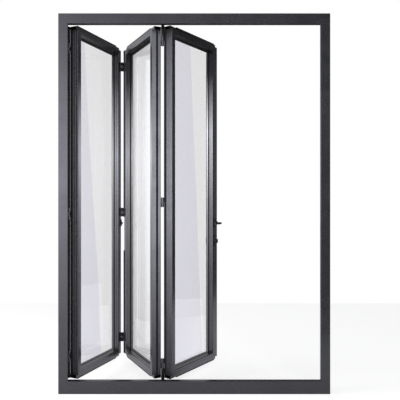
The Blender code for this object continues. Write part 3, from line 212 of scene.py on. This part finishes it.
def brushed_surface_group():
    """Long fine scratches for brushed stainless steel."""
    scratch_scale = (900, 900, 12)
    scratch_detail = 3.0
    gloss_low, gloss_high = 0.24, 0.42
    group, start, end = new_group(
        "brushed_surface",
        [("Shade", "NodeSocketColor", (0.6, 0.6, 0.61, 1)),
         ("Second Shade", "NodeSocketColor", (0.5, 0.5, 0.52, 1))], SURFACE_OUTPUTS)
    mapping = group.nodes.new("ShaderNodeMapping")
    mapping.inputs["Scale"].default_value = scratch_scale
    group.links.new(group.nodes.new("ShaderNodeTexCoord").outputs["Object"],
                    mapping.inputs["Vector"])
    scratches = noise_node(group, mapping.outputs["Vector"], 1.0, scratch_detail)
    shade_between(group, start, end, scratches)
    gloss = stretch(group, scratches, NOISE_LOW, NOISE_HIGH, gloss_low, gloss_high)
    group.links.new(gloss, end.inputs["Roughness"])
    group.links.new(scratches, end.inputs["Bump Height"])
    return group


BUMP_STRENGTH = 0.35
COARSE_RELIEF = 0.00003
FINE_RELIEF = 0.00001
COAT_METALLIC = 0.85
HARDWARE_METALLIC = 0.4


def new_material(name):
    """A material with nodes, its tree and its Principled shader."""
    material = bpy.data.materials.new(name)
    material.use_nodes = True
    return material, material.node_tree, material.node_tree.nodes["Principled BSDF"]


def material_from_group(name, group, settings, metallic=0.0, relief=COARSE_RELIEF):
    """A Principled finish fed by one of the surface groups."""
    material, tree, shader = new_material(name)
    shader.inputs["Metallic"].default_value = metallic
    surface = tree.nodes.new("ShaderNodeGroup")
    surface.node_tree = group
    for label, value in settings.items():
        surface.inputs[label].default_value = value
    for label in ("Base Color", "Roughness"):
        tree.links.new(surface.outputs[label], shader.inputs[label])
    bump = tree.nodes.new("ShaderNodeBump")
    bump.inputs["Strength"].default_value = BUMP_STRENGTH
    bump.inputs["Distance"].default_value = relief
    tree.links.new(surface.outputs["Bump Height"], bump.inputs["Height"])
    tree.links.new(bump.outputs["Normal"], shader.inputs["Normal"])
    return material


# Glass: a painted reflection, a pane darker on one side of a line that leans with the
# height, and a painted glow by height in metres that only blurred reflections in the
# coated profiles pick up, as painted bright streaks
GLASS_IOR = 1.45
BAND_SLOPE = 0.043
BAND_WOBBLE = 0.012
BAND_WOBBLE_SCALE = 1.3
BAND_BLUR = 0.004
# Shades of the painted reflection in the glass, on the brighter and the darker side of its
# slanted line
PAINTED_REFLECTION_BRIGHT_SIDE = (0.985, 0.981, 0.987, 1)
PAINTED_REFLECTION_DARK_SIDE = (0.920, 0.916, 0.952, 1)
FULL_TINT = (0.990, 0.988, 0.993, 1)
SHADOW_TINT = (0.97, 0.97, 0.975, 1)
# Painted glow: levels of light by height that the glass gives off to blurred reflection rays,
# painting bright streaks in the coated profiles
SHEEN_SHARE = 0.45
SHEEN_TOP = 2.1
SOFT_PAINTED_SHEEN = ((0.10, 0.55), (0.60, 0.65), (1.00, 1.30), (1.36, 2.80), (1.60, 1.60),
              (1.85, 0.15), (2.05, 0.02))
STRONG_PAINTED_SHEEN = ((0.10, 0.50), (0.60, 0.70), (1.00, 1.50), (1.32, 3.40), (1.50, 4.40),
                (1.68, 2.00), (1.86, 0.12), (2.05, 0.01))


def glass_material(name, shades, band_edge, painted_sheen_levels):
    """Clear float glass with a painted reflection, two faint shades that meet along a slanted
    line.
    """
    material, tree, shader = new_material(name)
    shader.inputs["Transmission Weight"].default_value = 1.0
    shader.inputs["IOR"].default_value = GLASS_IOR
    shader.inputs["Roughness"].default_value = 0.0
    place = tree.nodes.new("ShaderNodeTexCoord").outputs["Object"]
    side, _, height = axes(tree, place)
    # Painted reflection: the pane is darker on one side of a slanted, wobbling line
    across = math_node(tree, "MULTIPLY_ADD", height, BAND_SLOPE, side)
    noise = noise_node(tree, place, BAND_WOBBLE_SCALE, 1.0)
    wobble = math_node(tree, "MULTIPLY_ADD", noise, BAND_WOBBLE, across)
    mix = colour_mix(tree, stretch(tree, wobble, band_edge, band_edge + BAND_BLUR))
    mix.inputs["A"].default_value, mix.inputs["B"].default_value = shades
    tree.links.new(mix.outputs["Result"], shader.inputs["Base Color"])

    clear = tree.nodes.new("ShaderNodeBsdfTransparent")
    clear.inputs["Color"].default_value = SHADOW_TINT
    # Painted glow of the glass, seen only in blurred reflections of the coated profiles
    sheen = tree.nodes.new("ShaderNodeEmission")
    stops = [(metres / SHEEN_TOP, level) for metres, level in painted_sheen_levels]
    tree.links.new(grey_ramp(tree, math_node(tree, "DIVIDE", height, SHEEN_TOP), stops),
                   sheen.inputs["Strength"])
    rays = tree.nodes.new("ShaderNodeLightPath").outputs
    passing = clear.outputs["BSDF"]
    bright = shader_mix(tree, SHEEN_SHARE, passing, sheen.outputs["Emission"])
    mirrored = shader_mix(tree, rays["Is Singular Ray"], bright, passing)
    surface = shader.outputs["BSDF"]
    for kind, instead in (("Is Reflection Ray", mirrored), ("Is Diffuse Ray", passing),
                          ("Is Shadow Ray", passing)):
        surface = shader_mix(tree, rays[kind], surface, instead)
    tree.links.new(surface, tree.nodes["Material Output"].inputs["Surface"])
    return material


coated = coated_surface_group()
brushed = brushed_surface_group()
anthracite = material_from_group("anthracite_powder_coat", coated, {
    "Shade": (0.150, 0.150, 0.168, 1), "Second Shade": (0.168, 0.167, 0.186, 1),
    "Gloss Low": 0.22, "Gloss High": 0.29}, metallic=COAT_METALLIC)
bead_coat = material_from_group("anthracite_bead_coat", coated, {
    "Shade": (0.160, 0.160, 0.178, 1), "Second Shade": (0.178, 0.177, 0.196, 1),
    "Gloss Low": 0.17, "Gloss High": 0.23}, metallic=COAT_METALLIC)
# Painted light: a lighter copy of the anthracite coat, for the first leaf's edge ribs
painted_light_coat = material_from_group("anthracite_painted_light_coat", coated, {
    "Shade": (0.300, 0.295, 0.320, 1), "Second Shade": (0.340, 0.335, 0.360, 1),
    "Gloss Low": 0.22, "Gloss High": 0.29}, metallic=COAT_METALLIC)
rubber = material_from_group("black_seal_rubber", coated, {
    "Shade": (0.008, 0.008, 0.009, 1), "Second Shade": (0.013, 0.013, 0.014, 1),
    "Gloss Low": 0.6, "Gloss High": 0.75, "Grain Scale": 600.0})
hardware = material_from_group("dark_bronze_hardware", coated, {
    "Shade": (0.022, 0.020, 0.021, 1), "Second Shade": (0.030, 0.026, 0.026, 1),
    "Gloss Low": 0.26, "Gloss High": 0.36}, metallic=HARDWARE_METALLIC, relief=FINE_RELIEF)
nylon = material_from_group("white_nylon", coated, {
    "Shade": (0.62, 0.61, 0.57, 1), "Second Shade": (0.68, 0.67, 0.63, 1),
    "Gloss Low": 0.42, "Gloss High": 0.52})
stainless = material_from_group("brushed_stainless", brushed, {}, metallic=1.0,
                                relief=FINE_RELIEF)
spacer_bar = material_from_group("anodised_spacer_bar", brushed, {
    "Shade": (0.42, 0.42, 0.44, 1), "Second Shade": (0.34, 0.34, 0.36, 1)},
    metallic=1.0, relief=FINE_RELIEF)
PANES = {
    1: glass_material("glass_of_leaf_1", (PAINTED_REFLECTION_DARK_SIDE, PAINTED_REFLECTION_BRIGHT_SIDE), -0.552, SOFT_PAINTED_SHEEN),
    2: glass_material("glass_of_leaf_2", (FULL_TINT, FULL_TINT), 0.0, SOFT_PAINTED_SHEEN),
    3: glass_material("glass_of_leaf_3", (PAINTED_REFLECTION_DARK_SIDE, PAINTED_REFLECTION_BRIGHT_SIDE), 0.073, STRONG_PAINTED_SHEEN),
}
FINISHES = {
    "anthracite": anthracite,
    "anthracite_bead": bead_coat,
    "black_rubber": rubber,
    "stainless": stainless,
    "dark_hardware": hardware,
    "white_nylon": nylon,
}


def dress_cad_pieces():
    """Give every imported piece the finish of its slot, and every pane its leaf's glass."""
    slots = {entry["node"]: entry["material_slot"] for entry in frame["record"]["subparts"]}
    for name, piece in nodes.items():
        finish = PANES[int(name[5])] if name.endswith("pane") else FINISHES[slots[name]]
        piece.data.materials.clear()
        piece.data.materials.append(finish)


SHARP_ANGLE = radians(38)


class Shape:
    """Small parts laid out with the door shut, gathered into one piece."""

    def __init__(self):
        self.bm = bmesh.new()

    def box(self, low, high, bevel=0.0):
        """A block between two corners, with its edges broken if asked."""
        low, high = Vector(low), Vector(high)
        lowest = Vector(map(min, low, high))
        size = Vector(map(max, low, high)) - lowest
        matrix = Matrix.Translation(lowest + size / 2) @ Matrix.Diagonal((*size, 1))
        made = bmesh.ops.create_cube(self.bm, size=1, matrix=matrix)["verts"]
        if bevel:
            edges = list({edge for vertex in made for edge in vertex.link_edges})
            bmesh.ops.bevel(self.bm, geom=edges, offset=bevel, segments=2, profile=0.5,
                            affect="EDGES")

    def rod(self, start, end, radius, sides=40):
        """A round bar between two points."""
        start, end = Vector(start), Vector(end)
        run = end - start
        turn = run.to_track_quat("Z", "Y").to_matrix().to_4x4()
        bmesh.ops.create_cone(self.bm, cap_ends=True, segments=sides, radius1=radius,
                              radius2=radius, depth=run.length,
                              matrix=Matrix.Translation((start + end) / 2) @ turn)

    def lathe(self, base, axis, profile, sides=28):
        """A turned part: radius and height pairs along an axis from its base."""
        turn = Vector(axis).to_track_quat("Z", "Y").to_matrix().to_4x4()
        matrix = Matrix.Translation(base) @ turn
        angles = [2 * pi * step / sides for step in range(sides)]
        rings = []
        for radius, height in profile:
            rings.append([self.bm.verts.new(matrix @ Vector((
                radius * cos(angle), radius * sin(angle), height))) for angle in angles])
        for lower, upper in zip(rings, rings[1:]):
            for step in range(sides):
                after = (step + 1) % sides
                self.bm.faces.new((lower[step], lower[after], upper[after], upper[step]))
        self.bm.faces.new(list(reversed(rings[0])))
        self.bm.faces.new(rings[-1])

    def screw_head(self, place, outward, radius=0.0026):
        """A low domed screw head."""
        self.lathe(place, outward, [
            (radius, -0.0004), (radius, 0.0002), (radius * 0.85, 0.0007),
            (radius * 0.5, 0.0010), (radius * 0.12, 0.0011)], 16)

    def finish(self, name, body, material, smooth=False):
        """Fold the piece to the rest position and let it ride on its body."""
        bmesh.ops.recalc_face_normals(self.bm, faces=self.bm.faces)
        mesh = bpy.data.meshes.new(name)
        self.bm.to_mesh(mesh)
        self.bm.free()
        mesh.transform(FOLDED[body])
        mesh.materials.append(material)
        piece = bpy.data.objects.new(name, mesh)
        bpy.context.scene.collection.objects.link(piece)
        if smooth:
            mesh.shade_smooth()
            mesh.set_sharp_from_angle(angle=SHARP_ANGLE)
        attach(piece, body)


def leaf_span(number):
    """Left and right edge of a leaf with the door shut."""
    left = FIRST_EDGE + (number - 1) * LEAF_PITCH
    return left, left + LEAF_WIDTH


def add_edge_brushes():
    """Black pile seals on the top and bottom edge of every leaf."""
    clear_of_arm = 0.060
    clear_of_bolt = 0.035
    short_of_end = 0.012
    pile = 0.0055
    front = BACK - 0.0405
    back = front + 0.006
    for number in (1, 2, 3):
        left, right = leaf_span(number)
        low = left + (clear_of_arm if number == 3 else short_of_end)
        high = right - {1: clear_of_bolt, 2: clear_of_arm, 3: short_of_end}[number]
        shape = Shape()
        shape.box((low, front, LEAF_TOP - SINK), (high, back, LEAF_TOP + pile))
        shape.box((low, front, LEAF_BOTTOM + SINK), (high, back, LEAF_BOTTOM - pile))
        shape.finish("leaf_%d_edge_brushes" % number, "leaf_%d" % number, rubber)


def add_cover_lips(body, edge, face, outward, heights, material):
    """Soft cover strips on a leaf's face, between its hinges."""
    reach = 0.0055
    near, far = 0.0005, 0.0065
    gap = 0.0006
    soft_edge = 0.0012
    ends = [CORE_BOTTOM]
    for height in heights:
        ends += [height - HINGE_TALL / 2 - gap, height + HINGE_TALL / 2 + gap]
    ends.append(CORE_TOP)
    if body == "leaf_2":
        ends[3:3] = LEVER_CLEARANCE
    shape = Shape()
    for low, high in zip(ends[::2], ends[1::2]):
        shape.box((edge + near, face, low), (edge + far, face + outward * reach, high),
                  soft_edge)
    shape.finish(body + "_cover_lip", body, material)


def add_hinge_side_seals():
    """Lips that narrow the gaps beside the hinges."""
    reach = 0.0022
    lip_front, lip_back = BACK - 0.010, BACK - 0.0042
    soft_edge = 0.0004
    left = leaf_span(1)[0]
    shape = Shape()
    shape.box((left - reach, lip_front, CORE_BOTTOM), (left + SINK, lip_back, CORE_TOP),
              soft_edge)
    shape.finish("leaf_1_jamb_lip", "leaf_1", rubber)
    add_cover_lips("leaf_2", leaf_span(2)[0], LEAF_FRONT, -1, HINGE_HEIGHTS, anthracite)
    add_cover_lips("leaf_3", leaf_span(3)[0], BACK, 1, CARRIER_HEIGHTS, rubber)


def add_rod_sleeves():
    """Black sleeves over the round rods between the hinges of the jamb."""
    radius = 0.01005
    past_hinge = HINGE_TALL / 2 + 0.002
    short_of_end = 0.001
    starts = [LEAF_BOTTOM + short_of_end] + [height + past_hinge for height in HINGE_HEIGHTS]
    ends = [height - past_hinge for height in HINGE_HEIGHTS] + [LEAF_TOP - short_of_end]
    shape = Shape()
    for low, high in zip(starts, ends):
        shape.rod((JAMB_AXIS.x, JAMB_AXIS.y, low), (JAMB_AXIS.x, JAMB_AXIS.y, high), radius)
    shape.finish("jamb_rod_sleeves", "frame", rubber, True)


def add_stile_lines():
    """Black lines of painted groove shade, and ribs, along the edge faces of the first and third
    leaf.
    """
    line_wide = 0.0014
    rib_start = 0.0018
    rib_proud = 0.0012
    rib_edge = 0.0006
    strip_proud = 0.0015
    strip_back, strip_front = BACK - 0.0005, BACK - 0.0125
    strip_edge = 0.0005
    short_of_end = 0.002
    low, high = CORE_BOTTOM + short_of_end, CORE_TOP - short_of_end
    # The first leaf's ribs take the lighter copy of the coat as painted light
    for number, depths, rib_end, coat in ((1, (0.016, 0.028, 0.0405), 0.0105, painted_light_coat),
                                          (3, (0.016, 0.0275, 0.041), 0.0064, bead_coat)):
        left = leaf_span(number)[0]
        lines = Shape()
        ribs = Shape()
        # Painted shade: thin black strips, in the black rubber finish, where the grooves of the
        # profile would lie in shadow
        for depth in depths:
            lines.box((left - SEAT, BACK - depth, low),
                      (left + SEAT, BACK - depth - line_wide, high))
            ribs.box((left - rib_proud, BACK - depth - rib_start, low),
                     (left + SEAT, BACK - depth - rib_end, high), rib_edge)
        lines.finish("leaf_%d_edge_lines" % number, "leaf_%d" % number, rubber)
        ribs.finish("leaf_%d_edge_ribs" % number, "leaf_%d" % number, coat)
    left = leaf_span(3)[0]
    strip = Shape()
    strip.box((left - strip_proud, strip_back, CORE_BOTTOM), (left + SEAT, strip_front, CORE_TOP),
              strip_edge)
    strip.finish("leaf_3_edge_strip", "leaf_3", rubber)


def add_glass_edges():
    """Spacer bars between the panes, and the outer glazing seal."""
    pane_back = BACK - 0.0033
    pane_thick = 0.008
    inner_face = pane_back - pane_thick + SINK
    bar_thick = 0.0036
    bar_hidden = 0.0102 - 0.0012
    seal_back = BACK - 0.0012
    low_z, high_z = CORE_BOTTOM + STILE, CORE_TOP - STILE
    for number in (1, 2, 3):
        left, right = leaf_span(number)
        low_x, high_x = left + STILE, right - (LOCK_STILE if number == 3 else STILE)
        for name, material, inward, outward, start, end in (
                ("spacer_bars", spacer_bar, 0.0015, bar_hidden, inner_face,
                 inner_face + bar_thick),
                ("outer_seal", rubber, 0.0030, 0.0, pane_back, seal_back)):
            low_out, low_in = low_z - outward, low_z + inward
            high_in, high_out = high_z - inward, high_z + outward
            shape = Shape()
            for near, far in ((low_x - outward, low_x + inward),
                              (high_x - inward, high_x + outward)):
                shape.box((near, start, low_out), (far, end, high_out))
            for under, over in ((low_out, low_in), (high_in, high_out)):
                shape.box((low_x + inward, start, under), (high_x - inward, end, over))
            shape.finish("leaf_%d_%s" % (number, name), "leaf_%d" % number, material)


def add_hinge_details():
    """Screws on the hinge plates."""
    frame_screws, leaf_screws = Shape(), {1: Shape(), 2: Shape(), 3: Shape()}
    rises = (-0.019, 0.0, 0.019)
    wide_plate, narrow_plate = 0.024, 0.0135
    back_plates, front_plates = BACK + 0.0028, LEAF_FRONT - 0.0028
    for height in HINGE_HEIGHTS:
        for rise in rises:
            for shape, x, y, out in (
                    (frame_screws, JAMB_AXIS.x - wide_plate, back_plates, 1),
                    (leaf_screws[1], JAMB_AXIS.x + wide_plate, back_plates, 1),
                    (leaf_screws[1], FOLD_AXIS.x - narrow_plate, front_plates, -1),
                    (leaf_screws[2], FOLD_AXIS.x + narrow_plate, front_plates, -1)):
                shape.screw_head((x, y, height + rise), (0, out, 0))
    for height in CARRIER_HEIGHTS:
        for rise in rises:
            for number, side in ((2, -1), (3, 1)):
                leaf_screws[number].screw_head((CARRIER_AXIS.x + side * wide_plate, back_plates,
                                                height + rise), (0, 1, 0))
    frame_screws.finish("hinge_jamb_screws", "frame", stainless, True)
    for number, shape in leaf_screws.items():
        shape.finish("leaf_%d_hinge_screws" % number, "leaf_%d" % number, stainless, True)


def add_lock_details():
    """Plate screws, and collars under the lever, the thumb turn and the shoot bolt."""
    lock_x = leaf_span(3)[1] - 0.025
    shoot_x = leaf_span(1)[1] - 0.012
    shoot_axis = leaf_span(1)[1] - 0.009
    lever_plate_face = LEAF_FRONT - SEAT - 0.0075
    shoot_plate_face = LEAF_FRONT - SEAT - 0.0055
    outside_plate_face = BACK + 0.0078
    short_plate, tall_plate = 0.018, 0.0245
    screw = 0.0030
    indoors, outdoors = (0, -1, 0), (0, 1, 0)
    shape = Shape()
    for y, out, height, half in ((lever_plate_face, indoors, LEVER_HEIGHT, short_plate),
                                 (lever_plate_face, indoors, TURN_HEIGHT, tall_plate),
                                 (outside_plate_face, outdoors, TURN_HEIGHT, tall_plate)):
        for rise in (-half, half):
            shape.screw_head((lock_x, y, height + rise), out, screw)
    shape.finish("lock_plate_screws", "leaf_3", stainless, True)
    shape = Shape()
    for rise in (-short_plate, short_plate):
        shape.screw_head((shoot_x, shoot_plate_face, SHOOT_HEIGHT + rise), indoors, screw)
    shape.finish("shoot_bolt_plate_screws", "leaf_1", stainless, True)
    lock_collar = [(0.0120, 0.0), (0.0120, 0.0050), (0.0112, 0.0072), (0.0090, 0.0086)]
    shoot_collar = [(0.0085, 0.0), (0.0085, 0.0016), (0.0065, 0.0030)]
    for name, x, face, height, profile, body in (
            ("lever_collar", lock_x, lever_plate_face, LEVER_HEIGHT, lock_collar, "lever"),
            ("thumb_turn_collar", lock_x, lever_plate_face, TURN_HEIGHT, lock_collar, "turn"),
            ("shoot_bolt_collar", shoot_axis, shoot_plate_face, SHOOT_HEIGHT, shoot_collar,
             "shoot_bolt_handle")):
        shape = Shape()
        shape.lathe((x, face - SINK, height), indoors, profile)
        shape.finish(name, body, hardware, True)


def add_frame_details():
    """Drain covers, fixing plugs, and screws of the keep and the faceplate."""
    drain_half = 0.020
    drain_low, drain_high = 0.014, 0.022
    drain_proud = 0.0022
    soft_edge = 0.0008
    plug_inset = 0.018
    plug = [(0.006, -0.0003), (0.006, 0.0006), (0.004, 0.0010)]
    screw_depth = 0.0085
    keep_thick = 0.0023
    shape = Shape()
    for x in (-0.45, 0.0, 0.45):
        shape.box((x - drain_half, BACK - SINK, drain_low),
                  (x + drain_half, BACK + drain_proud, drain_high), soft_edge)
    shape.finish("sill_drain_covers", "frame", rubber)
    shape = Shape()
    for z in (0.25, 0.70, 1.15, 1.60, 1.95):
        for x in (-FRAME_SIDE + plug_inset, FRAME_SIDE - plug_inset):
            shape.lathe((x, BACK, z), (0, 1, 0), plug, 20)
    shape.finish("jamb_fixing_plugs", "frame", rubber, True)
    shape = Shape()
    for z in (LEVER_HEIGHT + 0.020, LEVER_HEIGHT - 0.060 - 0.022):
        shape.screw_head((KEEP_FACE - keep_thick, screw_depth, z), (-1, 0, 0))
    shape.finish("keep_screws", "frame", stainless, True)
    shape = Shape()
    for z in (LEVER_HEIGHT + 0.028, TURN_HEIGHT - 0.020):
        shape.screw_head((leaf_span(3)[1], screw_depth, z), (1, 0, 0))
    shape.finish("faceplate_screws", "leaf_3", stainless, True)


def straight_rays(tree):
    """1 for rays that come from the camera or through glass, else 0."""
    rays = tree.nodes.new("ShaderNodeLightPath").outputs
    return math_node(tree, "MAXIMUM", rays["Is Camera Ray"], rays["Is Transmission Ray"])


FLOOR_PLACE = (0, 0.6, -0.0004)
FLOOR_SIZE = (4.6, 3.6, 1)
FLOOR_GLOW = 0.73
FLOOR_GLOW_THROUGH_GLASS = 0.9
FLOOR_GLOW_MIRRORED = 0.45
MIRRORED_START, MIRRORED_FULL = 0.0, 0.2


def lay_the_floor():
    """Plain pale floor, white to the eye, which keeps a soft shadow of the door."""
    bpy.ops.mesh.primitive_plane_add(size=1, location=FLOOR_PLACE)
    floor = bpy.context.object
    floor.name = "studio_floor"
    floor.scale = FLOOR_SIZE
    material, tree, shader = new_material("pale_floor")
    shader.inputs["Base Color"].default_value = (0.8, 0.8, 0.8, 1)
    shader.inputs["Roughness"].default_value = 0.9
    shader.inputs["Specular IOR Level"].default_value = 0.0
    shader.inputs["Emission Color"].default_value = (1, 1, 1, 1)
    rays = tree.nodes.new("ShaderNodeLightPath").outputs
    depth = axes(tree, tree.nodes.new("ShaderNodeNewGeometry").outputs["Position"])[1]
    beyond_door = stretch(tree, depth, MIRRORED_START, MIRRORED_FULL, 0.0,
                          FLOOR_GLOW_MIRRORED)
    seen = math_node(tree, "MULTIPLY", straight_rays(tree), FLOOR_GLOW)
    mirrored = math_node(tree, "MULTIPLY", rays["Is Reflection Ray"], beyond_door)
    tree.links.new(math_node(tree, "MAXIMUM", seen, mirrored),
                   shader.inputs["Emission Strength"])
    white = tree.nodes.new("ShaderNodeEmission")
    through_glass = math_node(tree, "MULTIPLY", rays["Is Transmission Ray"],
                              FLOOR_GLOW_THROUGH_GLASS)
    surface = shader_mix(tree, through_glass, shader.outputs["BSDF"], white.outputs["Emission"])
    tree.links.new(surface, tree.nodes["Material Output"].inputs["Surface"])
    floor.data.materials.append(material)


# The studio as polished faces see it: brightness by compass bearing in degrees,
# 0 towards the camera, 90 to the right and -90 to the left. The narrow bright
# strips show in the coated profiles as streaks that lean with the height.
STUDIO_BEARINGS = (
    (-180, 0.50), (-150, 0.60), (-132, 0.90), (-112, 1.40), (-82, 1.70), (-75, 3.80),
    (-66, 1.60), (-52, 1.90), (-45, 3.40), (-37, 1.80), (-18, 2.90), (-10, 1.45), (0, 0.90),
    (7, 0.42), (13, 0.04), (27, 0.04), (34, 0.50), (42, 4.40), (50, 2.60), (62, 1.20),
    (76, 0.15), (94, 0.04), (109, 0.06), (115, 0.48), (130, 0.52), (142, 0.35), (160, 0.30),
    (180, 0.50))
STREAK_SLANT = 0.042
GLOW_HEIGHT = 0.06
GLOW_FALL = -24.0
GLOW_SHARE, DIM_SHARE = 0.90, 0.10
BACKDROP_START, BACKDROP_END = 1.15, 1.35


def studio_brightness(tree):
    """Brightness of the studio round the door, by bearing and by height."""
    east, north, up = axes(tree, tree.nodes.new("ShaderNodeTexCoord").outputs["Generated"])
    towards = math_node(tree, "MULTIPLY", north, -1.0)
    bearing = math_node(tree, "ARCTAN2", east, towards)
    slanted = math_node(tree, "MULTIPLY_ADD", up, STREAK_SLANT, bearing)
    stops = [((angle + 180) / 360, level) for angle, level in STUDIO_BEARINGS]
    by_bearing = grey_ramp(tree, stretch(tree, slanted, -pi, pi), stops)
    above = math_node(tree, "SUBTRACT", up, GLOW_HEIGHT)
    squared = math_node(tree, "MULTIPLY", above, above)
    bell = math_node(tree, "EXPONENT", math_node(tree, "MULTIPLY", squared, GLOW_FALL))
    bell = math_node(tree, "MULTIPLY_ADD", bell, GLOW_SHARE, DIM_SHARE)
    behind = stretch(tree, math_node(tree, "SUBTRACT", north, east), BACKDROP_START,
                     BACKDROP_END)
    return math_node(tree, "MULTIPLY", by_bearing, math_node(tree, "MAXIMUM", bell, behind))


def add_softbox(name, place, target, width, height, power, colour):
    """A large soft lamp, hidden from the camera, from glass and from reflections."""
    light = bpy.data.lights.new(name, "AREA")
    light.shape = "RECTANGLE"
    light.size = width
    light.size_y = height
    light.energy = power
    light.color = colour
    lamp = bpy.data.objects.new(name, light)
    bpy.context.scene.collection.objects.link(lamp)
    lamp.location = place
    lamp.rotation_euler = (Vector(target) - Vector(place)).to_track_quat("-Z", "Y").to_euler()
    lamp.visible_camera = False
    lamp.visible_transmission = False
    lamp.visible_glossy = False


def light_the_studio():
    """Two softboxes, and a world that is white to the eye and shaded in reflections."""
    add_softbox("left_softbox", (-3.4, -0.6, 1.35), (0.0, 0.3, 1.05), width=2.6, height=3.2,
                power=60, colour=(1.0, 0.99, 1.0))
    add_softbox("front_softbox", (0.8, -3.4, 2.6), (0.0, 0.2, 0.9), width=2.0, height=1.6,
                power=40, colour=(0.96, 0.98, 1.0))
    world = bpy.data.worlds.new("white_studio")
    bpy.context.scene.world = world
    world.use_nodes = True
    tree = world.node_tree
    tree.nodes.clear()
    seen = tree.nodes.new("ShaderNodeBackground")
    seen.inputs["Color"].default_value = (1, 1, 1, 1)
    studio = tree.nodes.new("ShaderNodeBackground")
    studio.inputs["Color"].default_value = (0.97, 0.98, 1.0, 1)
    tree.links.new(studio_brightness(tree), studio.inputs["Strength"])
    surface = shader_mix(tree, straight_rays(tree), studio.outputs["Background"],
                         seen.outputs["Background"])
    tree.links.new(surface, tree.nodes.new("ShaderNodeOutputWorld").inputs["Surface"])


def place_the_camera():
    """Indoors at chest height, left of the middle, looking straight at the opening."""
    camera = bpy.data.cameras.new("studio_camera")
    camera.sensor_width = 36.0
    camera.lens = 45.84
    camera.shift_x = 0.0675
    camera.shift_y = -0.0036
    holder = bpy.data.objects.new("studio_camera", camera)
    bpy.context.scene.collection.objects.link(holder)
    holder.location = (-0.1171, -2.8435, 1.0786)
    holder.rotation_euler = (pi / 2, 0, 0)
    bpy.context.scene.camera = holder
    bpy.context.scene.view_settings.view_transform = "Standard"


dress_cad_pieces()
add_edge_brushes()
add_hinge_side_seals()
add_rod_sleeves()
add_stile_lines()
add_glass_edges()
add_hinge_details()
add_lock_details()
add_frame_details()
lay_the_floor()
light_the_studio()
place_the_camera()
